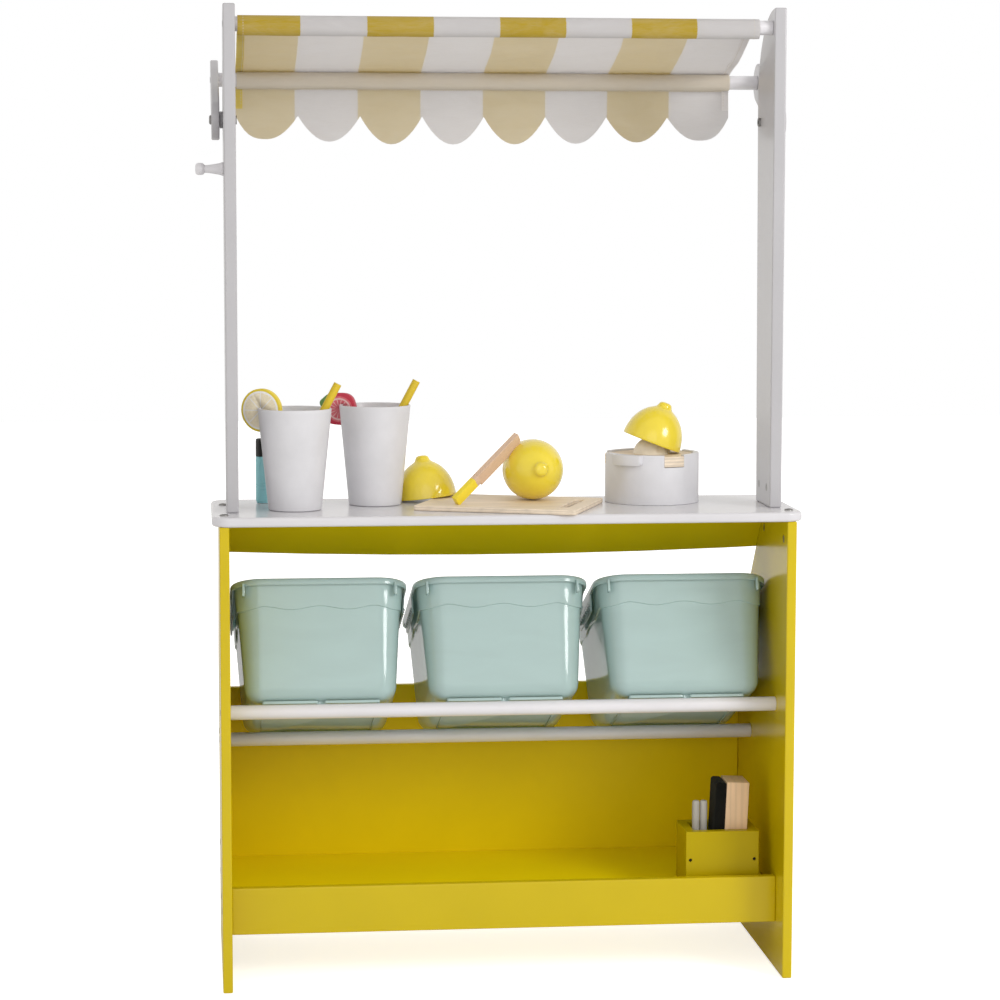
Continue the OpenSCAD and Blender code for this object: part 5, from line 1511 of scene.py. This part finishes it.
class STALL_OT_cups(StallPiece, bpy.types.Operator):
    """Two cups, each with a straw and a fruit slice on its rim"""

    bl_idname = "stall.cups"
    bl_label = "Cups, straws and slices"

    def execute(self, context):
        play = context.scene.stall_play
        white = painted_wood("Cup paint", play.cup, 0.42)
        cut_end = srgb(222, 206, 150)
        yellow = painted_wood("Straw paint", play.straw, 0.45, cut_end, STRAW_L + 0.1, 2, 0.0)
        rind, pith = srgb(236, 210, 56), srgb(252, 250, 248)
        flesh, seed = srgb(250, 238, 208), srgb(120, 84, 40)
        lemon = sliced_fruit("Lemon slice print", rind, pith, flesh, 8, seed)
        berry = berry_print("Berry slice print", tuple(play.berry))
        for side in ("left", "right"):
            size = size_of("cup_" + side) / MM
            spare = 1.0 if side == "left" else 0.0
            foot = foot_of("cup_" + side) @ Matrix.Translation((spare * 0.9 * MM, 0, 0))
            rim, tall = size.x / 2 + spare, size.z
            self.cup(side, foot, rim, tall, white)
            self.straw(side, foot, rim, tall, yellow)
            self.slice(side, foot, rim, tall, lemon if side == "left" else berry)
        return {"FINISHED"}

    def cup(self, side, foot, rim, tall, material):
        base, wall = CUP_BASE_R, CUP_WALL

        def out(z):
            return base + (rim - base) * z / tall

        profile = [(1.0, 1.2), (base - 5, 1.2), (base - 4, 0.2), (base - 1.2, 0.0), (base - 0.3, 0.5)]
        profile += [(out(z), z) for z in (1.6, 12, 40, 75, 105, 120, tall - 1.3)]
        profile += [(rim - 0.2, tall - 0.5), (rim - 0.8, tall), (rim - 1.5, tall)]
        profile += [(rim - 2.0, tall - 0.5), (out(tall - 1.6) - wall, tall - 1.6)]
        profile += [(out(z) - wall, z) for z in (100, 60, 25, 8)]
        profile += [(out(4) - wall - 1.2, 4.4), (out(3.4) - wall - 3.5, 3.4), (1.0, 3.4)]
        cup = Shape().lathe(profile, 96).build("cup_" + side + "_turned", foot, 42)
        settle(cup, side + "_cup", material, "white_paint", "cup_" + side)

    def straw(self, side, foot, rim, tall, material):
        r, length, lean = STRAW_R, STRAW_L, math.radians(STRAW_LEAN)
        floor, gap = 3.3, 0.3
        foot_z = floor + gap + r * math.sin(lean)
        rim_x = rim - CUP_WALL - gap - r / math.cos(lean)
        foot_x = rim_x - (tall - foot_z) * math.tan(lean)
        matrix = foot @ Matrix.Translation((foot_x * MM, 0, foot_z * MM)) @ turn("Y", STRAW_LEAN)
        profile = [(0.4, 0), (r - 0.5, 0), (r - 0.05, 0.5), (r, 1.5), (r, 60), (r, 120), (r, length - 0.8)]
        profile += [(r - 0.1, length - 0.3), (r - 0.4, length), (0.4, length)]
        straw = Shape().lathe(profile, 32).build("straw_" + side + "_rod", matrix, 40)
        settle(straw, side + "_straw", material, "yellow_paint", "straw_" + side)

    def slice(self, side, foot, rim, tall, material):
        seat = Matrix.Translation((-(rim - 1.1) * MM, 0, (tall + 0.3) * MM))
        matrix = foot @ turn("Z", -SLICE_TURN) @ seat
        node = "lemon_slice" if side == "left" else "berry_slice"
        thick, ease, rings = 8.0, 1.0, []
        if side == "left":
            angles = [2 * math.pi * k / 96 for k in range(96)]
            outline = [SLICE_R * Vector((math.cos(a), math.sin(a))) - Vector((0, SLIT_TOP)) for a in angles]
        else:
            marks = [(-1.15, 0.03), (-0.95, 0.27), (-0.64, 0.47), (-0.23, 0.5), (0.19, 0.485)]
            marks += [(0.45, 0.35), (0.59, 0.13), (0.67, -0.21), (0.63, -0.57), (0.47, -0.85)]
            marks += [(0.17, -0.99), (-0.09, -1.01), (-0.61, -0.95), (-0.87, -0.73), (-0.99, -0.37)]
            points = [(SLICE_R * x, SLICE_R * z, 0) for x, z in marks[::-1]]
            outline = [p.to_2d() for p in spline(points + points[:1], 6)[:-1]][::-1]
        middle_point = sum(outline, Vector((0, 0))) / len(outline)
        levels = [(-thick / 2, ease), (-thick / 2 + 0.3, 0.3), (-thick / 2 + ease, 0.0)]
        levels += [(thick / 2 - ease, 0.0), (thick / 2 - 0.3, 0.3), (thick / 2, ease)]
        for y, inset in levels:
            ring = []
            for p in outline:
                q = p + (middle_point - p).normalized() * inset
                ring.append(Vector((q.x, y, q.y)))
            rings.append(ring)
        disc = Shape().loft(rings).build(node + "_print", matrix, 35)
        self.cut_slit(disc, matrix)
        rider = "rim_lemon" if side == "left" else "rim_berry"
        settle(disc, rider, material, "yellow_paint" if side == "left" else "red_paint", node)

    def cut_slit(self, disc, matrix):
        """Open the slit that lets the slice stand on the rim."""
        wide, deep = 2.9, SLICE_R + SLIT_TOP + 1
        lean = deep * 12 / 126
        tool = Shape()
        corners = [(-wide / 2, 0.0), (wide / 2, 0.0), (wide / 2 + lean, -deep), (-wide / 2 + lean, -deep)]
        tool.loft([[Vector((x, y, z)) for x, z in corners] for y in (-9, 9)])
        cutter = tool.build("slit_tool", matrix)
        modifier = disc.modifiers.new("Slit", "BOOLEAN")
        modifier.operation, modifier.object, modifier.solver = "DIFFERENCE", cutter, "EXACT"
        bpy.context.view_layer.update()
        mesh = bpy.data.meshes.new_from_object(disc.evaluated_get(bpy.context.evaluated_depsgraph_get()))
        disc.modifiers.clear()
        mesh.materials.clear()
        back = matrix.inverted()
        own = [back @ v.co / MM + Vector((0, 0, SLIT_TOP)) for v in mesh.vertices]
        mesh.attributes["local"].data.foreach_set("vector", [c for v in own for c in v])
        disc.data = mesh
        bpy.data.objects.remove(cutter)


class STALL_OT_marker(StallPiece, bpy.types.Operator):
    """Marker pen on its end, with a ribbed cap"""

    bl_idname = "stall.marker"
    bl_label = "Marker pen"

    def execute(self, context):
        play = context.scene.stall_play
        profile = [(1, 0), (7.4, 0), (8.1, 0.5), (8.2, 1.8), (8.7, 2.2), (9.0, 3.0), (9.0, 20), (9.0, 40)]
        profile += [(9.0, 55.6), (8.9, 56.4), (8.55, 56.8), (8.55, 57.6), (8.9, 58.0), (8.9, 58.6), (8.6, 59)]
        profile += [(6.3, 59), (6.3, 70), (1, 70)]
        barrel = Shape().lathe(profile, 48).build("marker_barrel_turned", foot_of("marker_barrel"), 35)
        settle(barrel, "marker", plastic("Teal plastic", play.teal, 0.3), "teal_plastic", "marker_barrel")
        tall = size_of("marker_cap").z / MM
        profile = [(6.6, 10.5), (6.6, 0.3), (7.0, 0), (8.6, 0), (9.0, 0.5), (9.0, 3), (9.0, 9), (8.95, 15)]
        profile += [(8.9, tall - 2.4), (8.6, tall - 1.0), (7.9, tall - 0.2), (6.8, tall), (6.2, tall - 0.5)]
        profile.append((1, tall - 0.5))

        def ribbed(a, z):
            return 1 - 0.014 * (0.5 + 0.5 * math.cos(24 * a)) if 1 < z < tall - 3 else 1

        cap = Shape().lathe(profile, 96, ribbed).build("marker_cap_ribbed", foot_of("marker_cap"), 35)
        settle(cap, "pen_cap", plastic("Black plastic", play.dark, 0.35), "black_plastic", "marker_cap")
        return {"FINISHED"}


class STALL_OT_board(StallPiece, bpy.types.Operator):
    """Plywood cutting board and the wooden knife that leans on the lemon"""

    bl_idname = "stall.board"
    bl_label = "Cutting board and knife"

    def execute(self, context):
        play = context.scene.stall_play
        ply = bare_wood("Board plywood", play.wood, PLY_GRAIN, 1.3 * MM, math.radians(20.5))
        board = eased_copy("cutting_board", "cutting_board_ply", 0.6 * MM, 0.02, flat=BOARD_FACE)
        settle(board, "board", ply, "bare_wood", "cutting_board")
        self.knife(play)
        return {"FINISHED"}

    def knife(self, play):
        length, blade, handle_w, handle_l, thick, tip = 119.0, 17.5, 13.0, 42.0, 8.0, 9
        aside, slope, roll, lower, nearer, painted = 25, 46, 110, 3, 6, 36
        rise = math.degrees(math.atan(math.tan(math.radians(slope)) * math.cos(math.radians(aside))))
        frame_turn = turn("Z", aside) @ turn("Y", -rise) @ turn("X", roll)
        bend = [math.pi / 2 * k / 14 for k in range(15)]
        outline = [(handle_l, handle_w), (handle_l, handle_w - blade)]
        low = handle_w - blade + tip
        outline += [(length - tip + tip * math.sin(a), low - tip * math.cos(a)) for a in bend]
        outline = [Vector(p) for p in outline + [(length, handle_w)]]
        rings = []
        for side, inset in ((-1, 0.5), (-1, 0.0), (1, 0.0), (1, 0.5)):
            ring = []
            for k, p in enumerate(outline):
                ahead, behind = outline[(k + 1) % len(outline)] - p, p - outline[k - 1]
                way = (ahead.normalized() + behind.normalized()).normalized()
                q = p + Vector((-way.y, way.x)) * inset
                thin = 0.62 + 0.38 * (p.y - handle_w + blade) / blade
                ring.append(Vector((q.x, q.y, side * (thick / 2 * thin - 0.5 + inset))))
            rings.append(ring)
        shape = Shape().loft(rings).block((0, 0, -thick / 2), (handle_l + 1, handle_w, thick / 2), 0.6)
        ends = [frame_turn @ v for v in shape.verts]
        spare = [Vector(pick(e[i] for e in ends) for i in range(3)) for pick in (min, max)]
        shift_to = middle("toy_knife") - (spare[0] + spare[1]) / 2 * MM
        lowered = turn("Z", aside) @ turn("Y", lower - rise) @ turn("X", roll)
        foot = min(shape.verts, key=lambda v: (frame_turn @ v).z)
        shift_to += (frame_turn @ foot - lowered @ foot - Vector((0, nearer, 0))) * MM
        knife = shape.build("toy_knife_carved", Matrix.Translation(shift_to) @ lowered, 25)
        paint = painted_wood("Knife paint", play.lemon, 0.34, srgb(224, 192, 164), painted)
        settle(knife, "knife", paint, "bare_wood", "toy_knife")


class STALL_OT_juicer(StallPiece, bpy.types.Operator):
    """Juicer: painted tub with a pouring lip, plywood plate and a fluted reamer"""

    bl_idname = "stall.juicer"
    bl_label = "Juicer"

    def execute(self, context):
        play = context.scene.stall_play
        white = painted_wood("Juicer paint", play.cup, 0.36)
        ply = bare_wood("Plate plywood", play.wood, PLY_GRAIN, 2.2 * MM)
        tub = eased_copy("juicer_body", "juicer_tub", 1.2 * MM, 0.02)
        settle(tub, "juicer", white, "white_paint", "juicer_body")
        lip = eased_copy("juicer_spout", "juicer_lip", 0.5 * MM, 0.005)
        settle(lip, "juicer", white, "white_paint", "juicer_spout")
        seat, size = foot_of("juicer_reamer"), size_of("juicer_reamer") / MM
        settle(self.plate(seat), "squeezer", ply, "bare_wood", "juicer_plate")
        r, tall = size.x / 2, size.z
        profile = [(r * math.cos(a), tall * math.sin(a)) for a in [math.pi / 2 * k / 14 for k in range(14)]]
        profile.append((0.5, tall))

        def fluted(a, z):
            return 1 - 0.07 * (0.5 + 0.5 * math.cos(10 * a)) * min(1, z / 3) * max(0.0, 1 - z / tall)

        reamer = Shape().lathe(profile, 120, fluted).build("juicer_reamer_fluted", seat, 50)
        wood = painted_wood("Reamer wood", srgb(238, 228, 210), 0.5)
        settle(reamer, "squeezer", wood, "bare_wood", "juicer_reamer")
        return {"FINISHED"}

    def plate(self, seat):
        """Round plate with three tabs that reach through the tub's rim."""
        disc, reach, half = 52.7, 60.0, TAB_W / 2
        deep = size_of("juicer_plate").z / MM
        tabs = [math.radians(tab - 90) for tab in TAB_ANGLES]
        bearings = [2 * math.pi * k / 360 for k in range(360)]
        for tab in tabs:
            for r in (disc, reach):
                edge = math.asin(half / r)
                offs = [side * (edge + nudge) for side in (-1, 1) for nudge in (0, 1e-4)]
                bearings += [(tab + off) % (2 * math.pi) for off in offs]
        bearings.sort()

        def radius(a):
            near = min(abs(math.remainder(a - tab, 2 * math.pi)) for tab in tabs)
            return max(disc, min(reach, half / max(math.sin(near), 1e-6))) if near < 1 else disc

        rings, ease = [], 0.6
        for z, inset in ((-deep, ease), (-deep + ease, 0), (-ease, 0), (0, ease)):
            edge = [(a, radius(a) - inset) for a in bearings]
            rings.append([Vector((r * math.cos(a), r * math.sin(a), z)) for a, r in edge])
        return Shape().loft(rings).build("juicer_plate_ply", seat, 25)


# Studio, in metres

KEY_PLACE = (2.3, -2.3, 1.9)
KEY_AIM = (0.0, 0.0, 0.6)
KEY_SIZE = 1.2
FILL_PLACE = (-0.3, -3.4, 1.6)
FILL_AIM = (0.0, 0.2, 0.7)
FILL_SIZE = 2.5


class STALL_OT_stage(StallPiece, bpy.types.Operator):
    """Pale floor, even white surroundings, soft lights and the camera"""

    bl_idname = "stall.stage"
    bl_label = "Studio"

    def execute(self, context):
        stage = context.scene.stall_stage
        self.floor()
        self.sky(context.scene, stage)
        self.lamp("key_light", KEY_PLACE, KEY_AIM, KEY_SIZE, stage.key)
        self.lamp("fill_light", FILL_PLACE, FILL_AIM, FILL_SIZE, stage.fill)
        self.camera(context.scene, stage)
        context.scene.view_settings.view_transform = "Standard"
        return {"FINISHED"}

    def floor(self):
        mesh, half, below = bpy.data.meshes.new("floor"), 9, -0.0004
        corners = ((-half, -half), (half, -half), (half, half), (-half, half))
        mesh.from_pydata([(x, y, below) for x, y in corners], [], [(0, 1, 2, 3)])
        f = Finish("Pale floor")
        speck = f.noise(f.object_space(), 3.0, 3.0)
        pale = f.blend(speck, srgb(238, 238, 238), srgb(243, 243, 243))
        f.set(Base_Color=pale, Roughness=0.9, Specular_IOR_Level=0.1)
        seen = f.product(f.node("LightPath", "Is Camera Ray"), 0.7)
        glow = f.node("Emission", Color=(1.0, 1.0, 1.0), Strength=seen)
        f.end("Material Output", "Surface", f.node("AddShader", _0=f.shader.outputs[0], _1=glow))
        mesh.materials.append(f.material)
        linked("floor", mesh)

    def sky(self, scene, stage):
        """Even light that fades overhead, and plain white where the camera sees it."""
        scene.world = bpy.data.worlds.new("Studio")
        scene.world.use_nodes = True
        t = Tree(scene.world.node_tree)
        rise = t.split(t.node("TexCoord", "Generated"))[2]
        t.end("Background", "Color", (1.0, 0.985, 0.965))
        t.end("Background", "Strength", t.span(rise, 0.0, 1.0, stage.sky, stage.zenith))
        even = t.tree.nodes["Background"].outputs[0]
        white = t.node("Background", Color=(1.0, 1.0, 1.0), Strength=1.0)
        seen = t.node("LightPath", "Is Camera Ray")
        t.end("World Output", "Surface", t.node("MixShader", _0=seen, _1=even, _2=white))

    def lamp(self, name, place, aim, size, power):
        light = bpy.data.lights.new(name, "AREA")
        light.shape, light.size, light.energy = "DISK", size, power
        obj = linked(name, light)
        obj.location = place
        obj.rotation_euler = (Vector(aim) - Vector(place)).to_track_quat("-Z", "Y").to_euler()

    def camera(self, scene, stage):
        data = bpy.data.cameras.new("camera")
        data.lens, data.sensor_width = stage.lens, 36.0
        camera = linked("camera", data)
        camera.location = stage.eye
        look = turn("Z", -math.degrees(stage.yaw)) @ turn("X", 90 - math.degrees(stage.pitch))
        camera.rotation_euler = (look @ turn("Z", math.degrees(stage.roll))).to_euler()
        scene.camera = camera


OPERATORS = (
    STALL_OT_cabinet,
    STALL_OT_counter,
    STALL_OT_uprights,
    STALL_OT_hardware,
    STALL_OT_canopy,
    STALL_OT_valance,
    STALL_OT_bins,
    STALL_OT_caddy,
    STALL_OT_cups,
    STALL_OT_marker,
    STALL_OT_lemons,
    STALL_OT_board,
    STALL_OT_juicer,
    STALL_OT_stage,
)
SETTINGS = {
    "stall_boards": StallBoards,
    "stall_cloth": StallCloth,
    "stall_bins": StallBins,
    "stall_play": StallPlay,
    "stall_stage": StallStage,
}


class STALL_PT_panel(bpy.types.Panel):
    """Sidebar panel that lists the pieces and their settings"""

    bl_idname = "STALL_PT_panel"
    bl_label = "Toy market stall"
    bl_space_type = "VIEW_3D"
    bl_region_type = "UI"
    bl_category = "Stall"

    def draw(self, context):
        for operator in OPERATORS:
            self.layout.operator(operator.bl_idname)
        for name, group in SETTINGS.items():
            box = self.layout.box()
            box.label(text=group.__doc__)
            for key in group.__annotations__:
                box.prop(getattr(context.scene, name), key)


def register():
    for group in SETTINGS.values():
        bpy.utils.register_class(group)
    for name, group in SETTINGS.items():
        setattr(bpy.types.Scene, name, bpy.props.PointerProperty(type=group))
    for operator in OPERATORS:
        bpy.utils.register_class(operator)
    bpy.utils.register_class(STALL_PT_panel)


def unregister():
    bpy.utils.unregister_class(STALL_PT_panel)
    for operator in reversed(OPERATORS):
        bpy.utils.unregister_class(operator)
    for name in SETTINGS:
        delattr(bpy.types.Scene, name)
    for group in SETTINGS.values():
        bpy.utils.unregister_class(group)


def main():
    register()
    bpy.ops.stall.cabinet()
    bpy.ops.stall.counter()
    bpy.ops.stall.uprights()
    bpy.ops.stall.hardware()
    bpy.ops.stall.canopy()
    bpy.ops.stall.valance()
    bpy.ops.stall.bins()
    bpy.ops.stall.caddy()
    bpy.ops.stall.cups()
    bpy.ops.stall.marker()
    bpy.ops.stall.lemons()
    bpy.ops.stall.board()
    bpy.ops.stall.juicer()
    bpy.ops.stall.stage()


if __name__ == "__main__":
    main()
